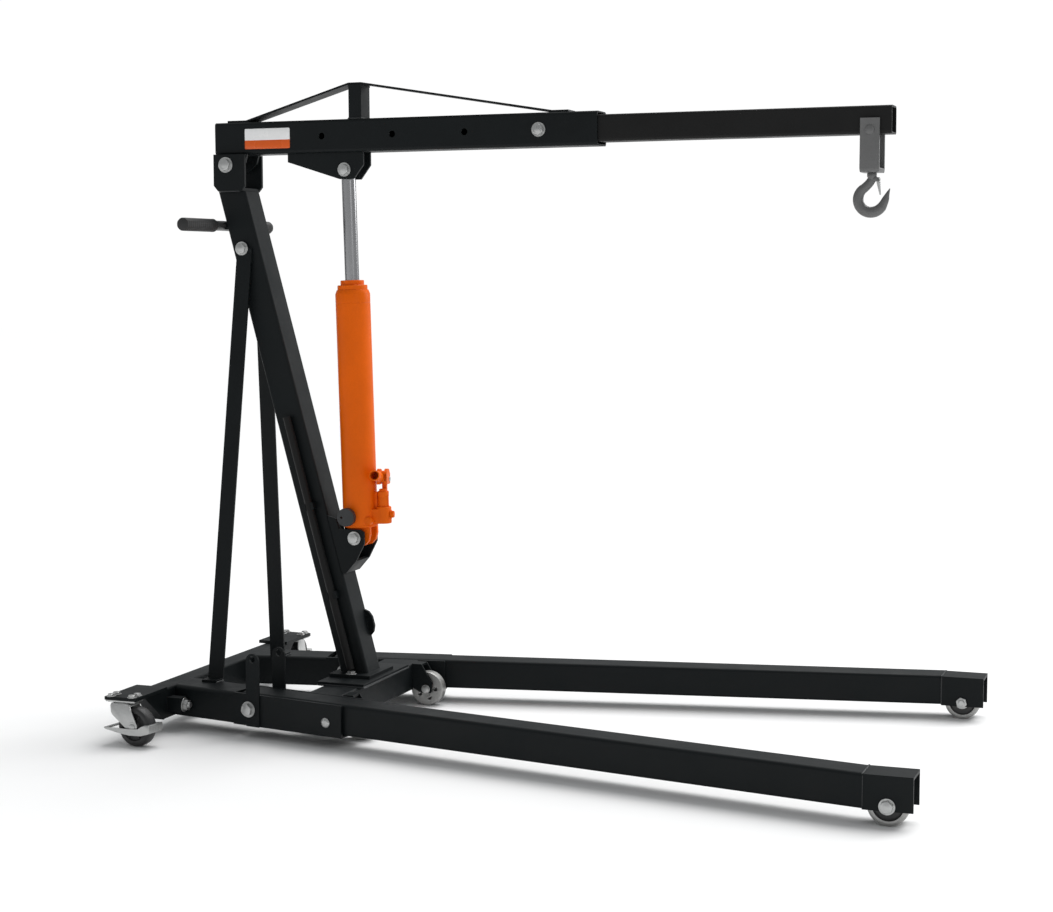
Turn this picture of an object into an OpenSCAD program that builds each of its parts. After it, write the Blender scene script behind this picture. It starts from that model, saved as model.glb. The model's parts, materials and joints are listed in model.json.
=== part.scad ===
// Folding workshop crane: steel base on six wheels, leaning mast, truss boom, hydraulic ram.
// Millimetres. +X is the way the boom points, +Y the left side, +Z up, the floor is z = 0.

/* [Boom] */
// Height of the outer boom tube
boom_h = 80; // [60:1:100]
// Width of the outer boom tube
boom_w = 70; // [50:1:90]
// Height of the boom's underside above the floor
boom_z = 1408; // [1200:1:1600]
// Rear end of the boom
boom_rear = -804; // [-900:1:-700]
// Front mouth of the outer boom
boom_front = 198; // [100:1:400]
// Front end of the sliding extension
ext_front = 884; // [700:1:1100]
// Spacing of the reach holes
hole_pitch = 188; // [120:1:220]
// Rise of the boom towards its front, in degrees
boom_rise = 0.3; // [0:0.05:2]

/* [Mast] */
// Mast depth, front to back
mast_d = 73; // [50:1:90]
// Mast width
mast_w = 80; // [60:1:100]
// Backward lean of the mast in degrees
mast_lean = 15.25; // [0:0.05:25]
// Centre of the mast at its foot
mast_x = -430.5; // [-500:0.5:-350]

/* [Ram] */
// Cylinder outside diameter
ram_d = 86; // [60:1:100]
// Piston rod diameter
rod_d = 35; // [25:1:50]
// Lower ram pivot, front to back
ram_x = -428.5; // [-480:0.5:-380]
// Lower ram pivot height
ram_z = 461; // [400:1:520]

/* [Base] */
// Leg tube width
leg_w = 78; // [60:1:100]
// Leg tube height
leg_h = 74.5; // [50:0.5:90]
// Outward splay of each leg in degrees
splay = 10.6; // [0:0.1:20]
// Leg pivot, front to back
pivot_x = -580; // [-650:1:-500]
// Leg pivot distance from the centre line
pivot_y = 249.5; // [200:0.5:300]
// Wheel axle of the front wheels
front_axle_x = 990; // [800:1:1100]
// Front wheel distance from the centre line
front_y = 532; // [450:1:600]
// Front and centre wheel diameter
wheel_d = 88; // [70:1:110]
// Caster wheel diameter
caster_d = 95; // [75:1:125]

/* [Hidden] */
$fn = 48;
mid_x = 79.5;                   // middle of the crane, front to back
wall = 4;                       // tube wall
plate = 8;                      // heavy plate
lug_out = 36;                   // inner faces of the lower ram bracket
lug_t = 6;
boom_mid = boom_z + boom_h / 2;
boom_top = boom_z + boom_h;
head_x = -768;                  // head pivot
head_z = 1383;
ext_w = boom_w - 2 * wall - 3;
ext_h = boom_h - 2 * wall - 9;
lock_x = 53;                    // boom lock bolt
ext_rear = lock_x - 60;
post_x = -425;                  // king post centre
post_top = 1571;
post_w = 56;                    // king post, across the boom
post_d = 34;
strap_y = 26;                   // half width of the truss straps
strap_t = 5;
pin_x = -456;                   // upper ram pivot, on the level boom
pin_z = 1366;
top_x = head_x + (pin_x - head_x) * cos(boom_rise) - (pin_z - head_z) * sin(boom_rise);
top_z = head_z + (pin_x - head_x) * sin(boom_rise) + (pin_z - head_z) * cos(boom_rise);
ram_len = sqrt(pow(top_x - ram_x, 2) + pow(top_z - ram_z, 2));
ram_tilt = atan2(ram_x - top_x, top_z - ram_z);
reach_x = 836;                  // yoke pin, on the level boom
reach_z = boom_mid - ext_h / 2 + 9;
yoke_x = head_x + (reach_x - head_x) * cos(boom_rise) - (reach_z - head_z) * sin(boom_rise);
yoke_pin_z = head_z + (reach_x - head_x) * sin(boom_rise) + (reach_z - head_z) * cos(boom_rise);
hook_z = 1281;                  // centre of the hook's bowl
bowl_x = yoke_x - 1;
bowl_r = 29.5;
hook_d = 25;                    // thickness of the hook
latch_x = yoke_x + 15;
latch_z = 1324;
head_seat = 1318;               // top of the mast
knob_x = -12;                   // release knob, from the ram axis
knob_d = 45;
barrel_z0 = 25;                 // ram barrel, along the ram
barrel_z1 = 605;
pump_x = 64;                    // plunger axis, from the ram axis
fulcrum_x = -18;
fulcrum_h = 142;
beam_x0 = -870;                 // rear beam
beam_x1 = -816;
beam_half = 400;
slant_y = 308;                  // beam ends rise from here
tie_y = 278;                    // tie bolts
tie_z = 65;
tie_block = 38;
base_z = 31;                    // underside of beam and sockets
base_top = 108;
slant_z = base_top - 6;
sock_gap = leg_w + 4;           // inside width of a socket
sock_w = sock_gap + 2 * plate;
leg_z = 35;                     // underside of the legs
pivot_z = leg_z + leg_h / 2;
sock_back = -50;                // closed stub ends behind the pivot
sock_front = 268;
lock_s = 224;                   // leg lock pin, along the leg
lock_z = 64;
park_rise = 122;                // park holes, above the pivot
ear_s = 12;
ear_top = 208;
cross_x0 = -470;                // centre cross member
cross_x1 = -374;
foot_z = 116;                   // top of the mast foot plate
foot_bolt_y = 60;
caster_x = -842;
caster_y = 449;
caster_px = 28;                 // plate bolts, from the kingpin
caster_py = 12;
caster_trail = 38;
caster_rest = 8;                // how far the right caster is swung at rest
caster_swung = 100;             // and the left one
mount_z = 116;
center_x = -336;                // centre wheels
center_y = 210;
center_w = 26;
center_m = 10;                  // thread of their axles
center_plate = 17.5;            // fork plates, from the wheel's middle
fork_x0 = 939;
fork_x1 = 1043;
fork_z0 = 34;
fork_z1 = 107.5;
bar_x = -793;                   // push handle bar
bar_z = 1233;
bar_half = 222;
brace_top_z = 1176;
brace_top_x = -728;
brace_bar_x = -721;             // middle of the bar at its top
brace_foot_x = -750;
brace_foot_y = 169.5;
brace_w = 40;
brace_t = 6;
bolt_m = 16;
ghost = 0.15;                   // clearance of a bolt in its hole
eps = 0.01;

black = [0.10, 0.12, 0.13];
graphite = [0.15, 0.15, 0.15];
orange = [0.85, 0.34, 0.04];
steel = [0.66, 0.67, 0.66];
rubber = [0.05, 0.05, 0.05];
chrome = [0.72, 0.72, 0.72];
forged = [0.42, 0.42, 0.42];
white = [0.93, 0.93, 0.93];

// ---------- shared shapes ----------
module rrect(w, h, r) {
  square([w - 2 * r, h], center = true);
  square([w, h - 2 * r], center = true);
  for (sx = [-1, 1])
    for (sy = [-1, 1])
      translate([sx * (w / 2 - r), sy * (h / 2 - r)])
        circle(r = r);
}

// hollow tube along +X, centred on the axis
module tube_x(l, w, h, t, r) {
  rotate([90, 0, 90])
    linear_extrude(height = l)
      difference() {
        rrect(w, h, r);
        rrect(w - 2 * t, h - 2 * t, r - t + 1);
      }
}

// moves the origin under the middle of the crane
module centred() {
  translate([-mid_x, 0, 0])
    children();
}

// plain block between two corners
module box(x0, x1, y0, y1, z0, z1) {
  translate([x0, y0, z0])
    cube([x1 - x0, y1 - y0, z1 - z0]);
}

// box on one side of the centre line: y0 and y1 are distances from it
module side_box(s, x0, x1, y0, y1, z0, z1) {
  box(x0, x1, s > 0 ? y0 : -y1, s > 0 ? y1 : -y0, z0, z1);
}

// plate on one side of the centre line
module side_plate(s, points, y0, y1) {
  plate_y(points, s > 0 ? y0 : -y1, s > 0 ? y1 : -y0);
}

// cylinder along Y, from y0 to y1
module cyl_y(x, z, y0, y1, d) {
  translate([x, y0, z])
    rotate([-90, 0, 0])
      cylinder(h = y1 - y0, d = d);
}

// upright plate with outline points in X and Z, from y0 to y1
module plate_y(points, y0, y1) {
  translate([0, y1, 0])
    rotate([90, 0, 0])
      linear_extrude(height = y1 - y0)
        polygon(points);
}

// hex bolt along +Z: head under z = 0, nut above the grip
module hex_bolt(m, af, grip, nut = true) {
  head = m * 0.65;
  translate([0, 0, -head])
    cylinder(h = head, d = af / cos(30), $fn = 6);
  cylinder(h = grip + (nut ? m * 1.1 : 0), d = m);
  if (nut)
    translate([0, 0, grip])
      difference() {
        cylinder(h = m * 0.8, d = af / cos(30), $fn = 6);
        translate([0, 0, -eps])
          cylinder(h = m, d = m - 0.02);
      }
}

// bolt along +Y with its head on the -Y face
module bolt_y(x, z, y0, grip, m = bolt_m, af = 24, nut = true) {
  translate([x, y0, z])
    rotate([-90, 0, 0])
      hex_bolt(m, af, grip, nut);
}

// short screw with a hex head, pointing -Z into a plate
module screw_down(x, y, z, m, af, l) {
  translate([x, y, z])
    cylinder(h = m * 0.6, d = af / cos(30), $fn = 6);
  translate([x, y, z - l])
    cylinder(h = l + eps, d = m);
}

// places a leg's own frame: origin on the pivot, x along the leg
module leg_frame(side) {
  translate([pivot_x, side * pivot_y, 0])
    rotate([0, 0, side * splay])
      children();
}

// turns the level boom to its small rise about the head pivot
module boom_frame() {
  translate([head_x, 0, head_z])
    rotate([0, -boom_rise, 0])
      translate([-head_x, 0, -head_z])
        children();
}

module mast_frame() {
  translate([mast_x, 0, foot_z])
    rotate([0, -mast_lean, 0])
      children();
}

module ram_frame() {
  translate([ram_x, 0, ram_z])
    rotate([0, -ram_tilt, 0])
      children();
}

// ---------- base ----------
module rear_beam() {
  color(black) centred()
    difference() {
      union() {
        difference() {
          translate([(beam_x0 + beam_x1) / 2, -beam_half, (base_z + base_top) / 2])
            rotate([0, 0, 90])
              tube_x(2 * beam_half, beam_x1 - beam_x0, base_top - base_z, wall, 7);
          for (s = [-1, 1])
            beam_slant(s, [[slant_y, base_z], [beam_half, slant_z], [beam_half + 5, slant_z],
              [beam_half + 5, base_z - 1], [slant_y, base_z - 1]]);
        }
        // slanted closing plates
        intersection() {
          box(beam_x0 + wall - 1, beam_x1 - wall + 1, -beam_half, beam_half, base_z, base_top);
          for (s = [-1, 1])
            beam_slant(s, [[slant_y - 5, base_z], [slant_y, base_z], [beam_half, slant_z],
              [beam_half - 5, slant_z]]);
        }
        // blocks for the tie bolts
        for (s = [-1, 1])
          side_box(s, beam_x1, beam_x1 + tie_block, tie_y - 12, tie_y + 17, 48, 84);
      }
      for (s = [-1, 1])
        translate([beam_x0 - 1, s * tie_y, tie_z])
          rotate([0, 90, 0])
            cylinder(h = 100, d = bolt_m + 2 * ghost);
    }
}

// prism across the beam with an outline in Y and Z
module beam_slant(s, points) {
  translate([beam_x0 - 1, 0, 0])
    rotate([90, 0, 90])
      linear_extrude(height = beam_x1 - beam_x0 + 2)
        polygon([for (p = points) [s * p[0], p[1]]]);
}

module caster_mounts() {
  color(black) centred()
    for (s = [-1, 1])
      difference() {
        side_box(s, -884, -800, 322, 469, base_top, mount_z);
        for (dx = [-caster_px, caster_px])
          for (dy = [-caster_py, caster_py])
            translate([caster_x + dx, s * caster_y + dy, base_top - 1])
              cylinder(h = 10, d = 10.4);
      }
}

module socket(s) {
  color(black) centred()
    leg_frame(s) {
      difference() {
        union() {
          // closed stub from the beam to just behind the pivot
          translate([-260, 0, (base_z + base_top) / 2])
            tube_x(260 + sock_back, sock_w, base_top - base_z, plate, 10);
          // open channel side walls
          for (t = [-1, 1])
            box(sock_back, sock_front, t > 0 ? sock_gap / 2 : -sock_w / 2,
              t > 0 ? sock_w / 2 : -sock_gap / 2, base_z, base_top);
          // channel floor
          box(60, sock_front, -sock_w / 2, sock_w / 2, base_z, leg_z - 0.5);
          // ears beside the pivot
          for (t = [-1, 1])
            ear(t);
        }
        // pivot hole through both walls
        cyl_y(0, pivot_z, -90, 90, 18 + 2 * ghost);
        // lock pin hole
        cyl_y(lock_s, lock_z, -90, 90, 16 + 2 * ghost);
        // park hole for the folded leg
        cyl_y(ear_s, pivot_z + park_rise, -90, 90, 17);
        // mitre against the rear beam
        rotate([0, 0, -s * splay])
          translate([-400 + beam_x1 - pivot_x, -300, 0])
            cube([400, 600, 200]);
      }
    }
}

module ear(t) {
  translate([0, t > 0 ? sock_w / 2 + 5 : -sock_w / 2, 0])
    rotate([90, 0, 0])
      linear_extrude(height = 5) {
        translate([ear_s - 19, base_z])
          square([38, ear_top - 19 - base_z]);
        translate([ear_s, ear_top - 19])
          circle(r = 19);
        translate([0, pivot_z])
          circle(r = 22);
      }
}

module cross_member() {
  color(black) centred()
    difference() {
      translate([(cross_x0 + cross_x1) / 2, -260, (38 + base_top) / 2])
        rotate([0, 0, 90])
          tube_x(520, cross_x1 - cross_x0, base_top - 38, wall, 6);
      // mitred against the inner faces of both sockets
      for (s = [-1, 1])
        leg_frame(s)
          translate([-300, s > 0 ? -sock_w / 2 : sock_w / 2 - 400, 0])
            cube([900, 400, 200]);
      // arches for the centre wheels
      for (s = [-1, 1])
        translate([0, s * center_y, 0])
          cyl_y(center_x, wheel_d / 2, -center_w / 2 - 1.5, center_w / 2 + 1.5, wheel_d + 6);
    }
}

module mast_foot() {
  color(black) centred()
    difference() {
      box(-486, -362, -138, 138, base_top, foot_z);
      for (s = [-1, 1])
        translate([mast_x, s * foot_bolt_y, base_top - 1])
          cylinder(h = 20, d = 12.4);
    }
}

module center_forks() {
  color(black) centred()
    for (s = [-1, 1]) {
      // upright side plates either side of each centre wheel
      for (t = [-1, 1])
        difference() {
          plate_y([[cross_x1, base_top], [cross_x1, 46], [center_x - 14, 34], [center_x + 14, 34],
            [center_x + 18, 60], [cross_x1 + 26, base_top]],
            s * center_y + t * center_plate - 2, s * center_y + t * center_plate + 2);
          translate([0, s * center_y + t * center_plate, 0])
            cyl_y(center_x, wheel_d / 2, -9, 9, center_m + 2 * ghost);
        }
      // bridge between the side plates, above the wheel
      box(cross_x1, cross_x1 + 26, s * center_y - center_plate, s * center_y + center_plate, base_top - 6,
        base_top);
    }
}

module center_axles() {
  color(steel) centred()
    for (s = [-1, 1])
      bolt_y(center_x, wheel_d / 2, s * center_y - center_plate - 2, 2 * center_plate + 4, center_m, 16);
}

// wheel on an axle along Y; a tread, a web and a hub 2 mm proud each side
module wheel(x, y, d, w, bore, holes) {
  translate([x, y, d / 2])
    rotate([90, 0, 0])
      difference() {
        union() {
          translate([0, 0, -w / 2])
            rotate_extrude()
              polygon([[bore / 2, 2], [d / 2 - 6, 0], [d / 2 - 2, 0], [d / 2, 3], [d / 2, w - 3],
                [d / 2 - 2, w], [d / 2 - 6, w], [bore / 2, w - 2]]);
          translate([0, 0, -w / 2 - 2])
            difference() {
              cylinder(h = w + 4, d = bore + 12);
              translate([0, 0, -1])
                cylinder(h = w + 6, d = bore);
            }
        }
        for (a = [0 : 1 : holes - 1])
          rotate([0, 0, a * 360 / max(holes, 1)])
            translate([d * 0.27, 0, -w])
              cylinder(h = 2 * w, d = d * 0.14);
      }
}

module center_wheel(s) {
  color(steel) centred()
    wheel(center_x, s * center_y, wheel_d, center_w, center_m + 0.1, 5);
}

// ---------- mast ----------
module mast() {
  color(black) centred() {
    difference() {
      mast_frame()
        translate([0, 0, -40])
          rotate([0, -90, 0])
            tube_x(1330, mast_w, mast_d, wall, 7);
      box(-600, -200, -100, 100, 0, foot_z + 8);
      cyl_y(brace_top_x, brace_top_z, -60, 60, bolt_m + 2 * ghost);
      // level seat for the head bracket
      box(-900, -600, -100, 100, head_seat, 1700);
    }
    // base flange
    difference() {
      box(mast_x - 55, mast_x + 55, -72, 72, foot_z, foot_z + 8);
      for (s = [-1, 1])
        translate([mast_x, s * foot_bolt_y, foot_z - 1])
          cylinder(h = 20, d = 12.4);
    }
    // stiffening tab low on the front face
    mast_frame()
      plate_y([[mast_d / 2 - 1, 83], [mast_d / 2 + 11, 92], [mast_d / 2 + 17, 106], [mast_d / 2 + 17, 130],
        [mast_d / 2 + 11, 144], [mast_d / 2 - 1, 153]], 27, 35);
  }
}

module mast_bolts() {
  color(steel) centred()
    for (s = [-1, 1])
      screw_down(mast_x, s * foot_bolt_y, foot_z + 8, 12, 19, 16);
}

module head_bracket() {
  color(black) centred()
    difference() {
      union() {
        for (s = [-1, 1])
          side_plate(s, [[-802, 1409], [-802, 1332], [-790, head_seat], [-726, head_seat], [-716, 1330],
            [-716, 1409]], 42, 50);
        box(-790, -724, -42, 42, head_seat, head_seat + plate);
      }
      cyl_y(head_x, head_z, -60, 60, 18 + 2 * ghost);
    }
}

module head_bolt() {
  color(steel) centred()
    bolt_y(head_x, head_z, -50, 100, 18, 27);
}

module brace(s) {
  rise = brace_top_z - base_top;
  side_lean = atan2(brace_foot_y - mast_w / 2 - brace_t / 2, rise);
  fore_lean = atan2(brace_bar_x - brace_foot_x, rise);
  half = brace_w / 2;
  tab_y = mast_w / 2;
  color(black) centred()
    difference() {
      union() {
        // flat bar leaning in from the socket to the mast
        intersection() {
          translate([brace_foot_x, s * brace_foot_y, base_top])
            rotate([s * side_lean, fore_lean, 0])
              box(-half, half, -brace_t / 2, brace_t / 2, -20, rise);
          box(-900, -600, -400, 400, base_top, brace_top_z - 12);
        }
        // foot on the socket and upright tab against the mast
        side_box(s, brace_foot_x - half, brace_foot_x + half, brace_foot_y - 1, brace_foot_y + 34,
          base_top, base_top + brace_t);
        side_box(s, brace_bar_x - half, brace_bar_x + half, tab_y, tab_y + brace_t, brace_top_z - 34,
          brace_top_z);
        cyl_y(brace_top_x, brace_top_z, s > 0 ? tab_y : -tab_y - brace_t, s > 0 ? tab_y + brace_t : -tab_y,
          brace_w - 6);
      }
      cyl_y(brace_top_x, brace_top_z, -60, 60, bolt_m + 2 * ghost);
    }
}

// M16 bolts of the frame: braces, lower ram pivot and beam ties
module frame_bolts() {
  color(steel) centred() {
    bolt_y(brace_top_x, brace_top_z, -mast_w / 2 - brace_t, mast_w + 2 * brace_t);
    bolt_y(ram_x, ram_z, -lug_out - lug_t, 2 * (lug_out + lug_t));
    for (s = [-1, 1])
      translate([beam_x0, s * tie_y, tie_z])
        rotate([0, 90, 0])
          hex_bolt(bolt_m, 24, beam_x1 - beam_x0 + tie_block);
  }
}

module push_bar() {
  color(graphite) centred()
    difference() {
      cyl_y(bar_x, bar_z, -bar_half, bar_half, 25);
      cyl_y(bar_x, bar_z, -bar_half - 1, bar_half + 1, 20);
    }
}

module bar_bracket() {
  color(black) centred()
    difference() {
      // saddle between the mast's back and the bar
      intersection() {
        box(bar_x, -720, -30, 30, bar_z - 9, bar_z + 9);
        mast_back();
      }
      cyl_y(bar_x, bar_z, -60, 60, 25 + 2 * ghost);
    }
}

// half space behind the mast's rear face
module mast_back() {
  mast_frame()
    translate([-mast_d / 2 - 200, -200, 0])
      cube([200, 400, 1500]);
}

module push_grips() {
  color(rubber) centred()
    for (s = [-1, 1])
      difference() {
        union() {
          cyl_y(bar_x, bar_z, s > 0 ? 75 : -226, s > 0 ? 226 : -75, 30);
          for (k = [0 : 6])
            cyl_y(bar_x, bar_z, s > 0 ? 82 + k * 20 : -92 - k * 20, s > 0 ? 92 + k * 20 : -82 - k * 20, 33);
        }
        cyl_y(bar_x, bar_z, s > 0 ? 74 : -bar_half, s > 0 ? bar_half : -74, 25 + 2 * ghost);
      }
}

module ram_bracket_lower() {
  color(black) centred()
    difference() {
      union() {
        for (s = [-1, 1])
          side_plate(s, [[-520, 520], [-478, 508], [-470, 483], [-410, 483], [-402, 477], [-402, 447],
            [-424, 404], [-452, 372], [-480, 372]], lug_out, lug_out + lug_t);
        // closing plate along the bottom slope
        plate_y([[-424, 404], [-452, 372], [-458, 376], [-430, 408]], -lug_out, lug_out);
      }
      // cut back to the mast's front face
      mast_frame()
        translate([mast_d / 2 - 300, -200, -40])
          cube([300, 400, 1400]);
      cyl_y(ram_x, ram_z, -60, 60, bolt_m + 2 * ghost);
    }
}

module lever_bar() {
  color(graphite) centred()
    mast_frame()
      translate([0, -mast_w / 2 - 12, 18])
        cylinder(h = 648, d = 19.6);
}

module lever_clips() {
  color(black) centred()
    mast_frame()
      for (h = [208, 436])
        difference() {
          translate([-14, -mast_w / 2 - 20, h - 9])
            cube([28, 20, 18]);
          translate([0, -mast_w / 2 - 12, h - 20])
            cylinder(h = 40, d = 20);
          translate([-7, -mast_w / 2 - 30, h - 20])
            cube([14, 18, 40]);
        }
}

// ---------- boom ----------
module boom_tube() {
  color(black) centred() boom_frame()
    difference() {
      union() {
        translate([boom_rear, 0, boom_mid])
          tube_x(boom_front - boom_rear, boom_w, boom_h, wall, 8);
        // rear end cap
        box(boom_rear, boom_rear + 4, -boom_w / 2 + 3, boom_w / 2 - 3, boom_z + 3, boom_top - 3);
        // pivot lugs under the rear end
        for (t = [-1, 1])
          plate_y([[-800, boom_z + 2], [-800, 1388], [-786, 1364], [-750, 1364], [-722, 1388],
            [-716, boom_z + 2]],
            t > 0 ? 27 : -35, t > 0 ? 35 : -27);
      }
      for (k = [0 : 3])
        cyl_y(lock_x - k * hole_pitch, boom_mid, -60, 60, bolt_m + 2 * ghost);
      cyl_y(head_x, head_z, -60, 60, 18.1);
    }
}

module ram_bracket_upper() {
  color(black) centred() boom_frame()
    difference() {
      for (t = [-1, 1])
        plate_y([[-609, boom_z], [-609, 1387], [-469, 1343], [-431, 1343], [-405, 1377], [-405, boom_z]],
          t > 0 ? 18 : -24, t > 0 ? 24 : -18);
      cyl_y(pin_x, pin_z, -60, 60, bolt_m + 2 * ghost);
    }
}

module king_post() {
  color(black) centred() boom_frame() {
    translate([post_x, 0, boom_top])
      rotate([0, -90, 0])
        tube_x(post_top - 5 - boom_top, post_w, post_d, 3, 4);
    box(post_x - post_d / 2, post_x + post_d / 2, -post_w / 2, post_w / 2, post_top - 5, post_top - 0.3);
  }
}

module truss_straps() {
  rear = post_x - post_d / 2;
  front = post_x + post_d / 2;
  crown = post_top + strap_t - 0.3;
  color(black) centred() boom_frame() {
    // rear strap and its foot
    strap(-722, boom_top + strap_t, rear, crown);
    box(-773, -722, -strap_y, strap_y, boom_top, boom_top + strap_t);
    // front strap and its foot
    strap(front, crown, 84, boom_top + strap_t);
    box(84, 124, -strap_y, strap_y, boom_top, boom_top + strap_t);
    // crown over the post
    box(rear, front, -strap_y, strap_y, crown - strap_t, crown);
  }
}

// flat bar between two points of its top face
module strap(x0, z0, x1, z1) {
  plate_y([[x0, z0], [x1, z1], [x1, z1 - strap_t], [x0, z0 - strap_t]], -strap_y, strap_y);
}

module boom_label() {
  color(white) centred() boom_frame()
    box(-721, -597, -boom_w / 2 - 0.8, -boom_w / 2, 1421, 1471);
}

// bolts of the boom, each in two halves: the lock bolt clears the sliding tube, the pin clears the rod eye
module boom_bolts() {
  color(steel) centred() boom_frame()
    for (a = [0, 180]) {
      translate([lock_x, 0, 0])
        rotate([0, 0, a])
          bolt_y(0, boom_mid, -boom_w / 2, 4.5, nut = false);
      translate([pin_x, 0, 0])
        rotate([0, 0, a])
          bolt_y(0, pin_z, -24, 8, nut = false);
    }
}

module boom_extension() {
  color(graphite) centred() boom_frame()
    difference() {
      translate([ext_rear, 0, boom_mid])
        tube_x(ext_front - ext_rear, ext_w, ext_h, wall, 7);
      cyl_y(reach_x, reach_z, -60, 60, 14.1);
      cyl_y(lock_x, boom_mid, -60, 60, bolt_m + 1);
    }
}

module hook_yoke() {
  color(forged) centred()
    difference() {
      union() {
        for (t = [-1, 1])
          box(yoke_x - 22, yoke_x + 22, t > 0 ? ext_w / 2 + 1 : -ext_w / 2 - 7,
            t > 0 ? ext_w / 2 + 7 : -ext_w / 2 - 1, 1340, 1460);
        box(yoke_x - 22, yoke_x + 22, -ext_w / 2 - 1, ext_w / 2 + 1, 1340, 1350);
      }
      cyl_y(yoke_x, yoke_pin_z, -60, 60, 14 + 2 * ghost);
      translate([yoke_x, 0, 1330])
        cylinder(h = 40, d = 16.1);
    }
}

module yoke_pin() {
  near = ext_w / 2 + 7.1;
  far = ext_w / 2 + 11;
  color(steel) centred() {
    cyl_y(yoke_x, yoke_pin_z, -near - 2, near + 2, 14);
    for (t = [-1, 1])
      cyl_y(yoke_x, yoke_pin_z, t > 0 ? near : -far, t > 0 ? far : -near, 22);
  }
}

module hook() {
  color(forged) centred() {
    // bowl of the hook, open to the front
    translate([bowl_x, 0, hook_z])
      rotate([90, 0, 0])
        rotate([0, 0, 100])
          rotate_extrude(angle = 250)
            translate([bowl_r, 0])
              circle(d = hook_d);
    // pointed tip
    translate([bowl_x + bowl_r * cos(10), 0, hook_z - bowl_r * sin(10) - 1])
      rotate([0, 25, 0])
        cylinder(h = 31, d1 = hook_d - 1.5, d2 = 4);
    // neck, collar, shank through the yoke and its nut
    translate([yoke_x, 0, hook_z + 24])
      cylinder(h = 26, d = 17);
    translate([yoke_x, 0, hook_z + 48])
      cylinder(h = 10.5, d = 22);
    translate([yoke_x, 0, hook_z + 57])
      cylinder(h = 30, d = 16);
    translate([yoke_x, 0, 1350.5])
      cylinder(h = 13, d = 28, $fn = 6);
    // ears and pin of the latch
    for (s = [-1, 1])
      side_box(s, yoke_x + 3, latch_x + 4, 5.5, 8, latch_z - 4, latch_z + 6);
    cyl_y(latch_x, latch_z, -8, 8, 4);
  }
}

module hook_latch() {
  color(steel) centred()
    difference() {
      plate_y([[latch_x - 3.5, latch_z + 4], [latch_x + 3.5, latch_z + 4], [latch_x + 3.5, latch_z - 8],
        [latch_x + 5.5, latch_z - 34], [latch_x + 3, latch_z - 34], [latch_x - 3.5, latch_z - 8]], -5, 5);
      cyl_y(latch_x, latch_z, -8, 8, 4.1);
    }
}

// ---------- ram ----------
module ram_cylinder() {
  color(orange) centred()
    ram_frame() {
      // barrel
      difference() {
        translate([0, 0, barrel_z0])
          cylinder(h = barrel_z1 - barrel_z0, d = ram_d);
        translate([0, 0, 60])
          cylinder(h = 600, d = 66);
      }
      // shoulder and head collars
      translate([0, 0, barrel_z1])
        difference() {
          union() {
            cylinder(h = 8, d1 = ram_d, d2 = 78);
            translate([0, 0, 8])
              cylinder(h = 12, d = 74);
            translate([0, 0, 20])
              cylinder(h = 12, d = 58);
          }
          translate([0, 0, -1])
            cylinder(h = 40, d = rod_d + 0.1);
        }
      // twin curved foot lugs on the lower pivot
      difference() {
        for (s = [-1, 1])
          side_plate(s, [[-26, barrel_z0 + 1], [36, barrel_z0 + 1], [36, 8], [32, -8], [20, -20], [0, -25],
            [-18, -18], [-26, -4]], 16, 26);
        cyl_y(0, 0, -60, 60, bolt_m + 0.1);
      }
      // boss carrying the pump
      box(20, pump_x, -18, 18, 34, 70);
      translate([pump_x, 0, 34])
        cylinder(h = 42, d = 38);
      // web behind the pump barrel
      box(40, pump_x - 14.5, -5, 5, 70, 112);
      // valve boss low on the pump side
      cyl_y(34, 42, -34, -10, 22);
    }
}

module ram_rod() {
  color(chrome) centred()
    ram_frame() {
      translate([0, 0, 300])
        cylinder(h = ram_len - 300 - 16, d = rod_d);
      translate([0, 0, 300])
        cylinder(h = 22, d = 65.9);
      difference() {
        cyl_y(0, ram_len, -15, 15, 44);
        cyl_y(0, ram_len, -60, 60, bolt_m + 6);
      }
    }
}

// frame of the pump: origin under the plunger, x towards the handle socket
module pump_frame() {
  ram_frame()
    translate([pump_x, 0, 0])
      rotate([0, 0, -80])
        children();
}

module pump_body() {
  color(orange) centred()
    pump_frame()
      difference() {
        union() {
          translate([0, 0, 76])
            cylinder(h = 38, d = 28);
          // fulcrum post
          box(fulcrum_x - 7, fulcrum_x + 7, -5, 5, 76, 151);
        }
        translate([0, 0, 84])
          cylinder(h = 60, d = 20.1);
        cyl_y(fulcrum_x, fulcrum_h, -20, 20, 8.1);
      }
}

module pump_plunger() {
  color(orange) centred()
    pump_frame()
      translate([0, 0, 92])
        cylinder(h = 28, d = 20);
}

module pump_socket() {
  color(orange) centred()
    pump_frame()
      difference() {
        union() {
          // rounded knuckle plates either side of the fulcrum post
          for (s = [-1, 1])
            side_plate(s, [[fulcrum_x - 7, 131], [fulcrum_x - 7, 152], [-18, 163], [-8, 170], [4, 169],
              [12, 160], [12, 131]], 6, 13);
          // bridge joining them
          box(5, 12, -13, 13, 138, 166);
          translate([8, -8, 150])
            rotate([0, 80, 0])
              cylinder(h = 46, d = 26.6);
        }
        translate([8, -8, 150])
          rotate([0, 80, 0])
            translate([0, 0, 6])
              cylinder(h = 60, d = 20.4);
        cyl_y(fulcrum_x, fulcrum_h, -20, 20, 8.2);
      }
}

module pump_pin() {
  color(steel) centred()
    pump_frame()
      cyl_y(fulcrum_x, fulcrum_h, -15, 15, 8);
}

module release_knob() {
  color(rubber) centred()
    ram_frame()
      difference() {
        union() {
          cyl_y(knob_x, 54, -64, -50, knob_d);
          cyl_y(knob_x, 54, -51, -43.3, 20);
        }
        cyl_y(knob_x - 11, 54, -70, -45, 6);
      }
}

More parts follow.
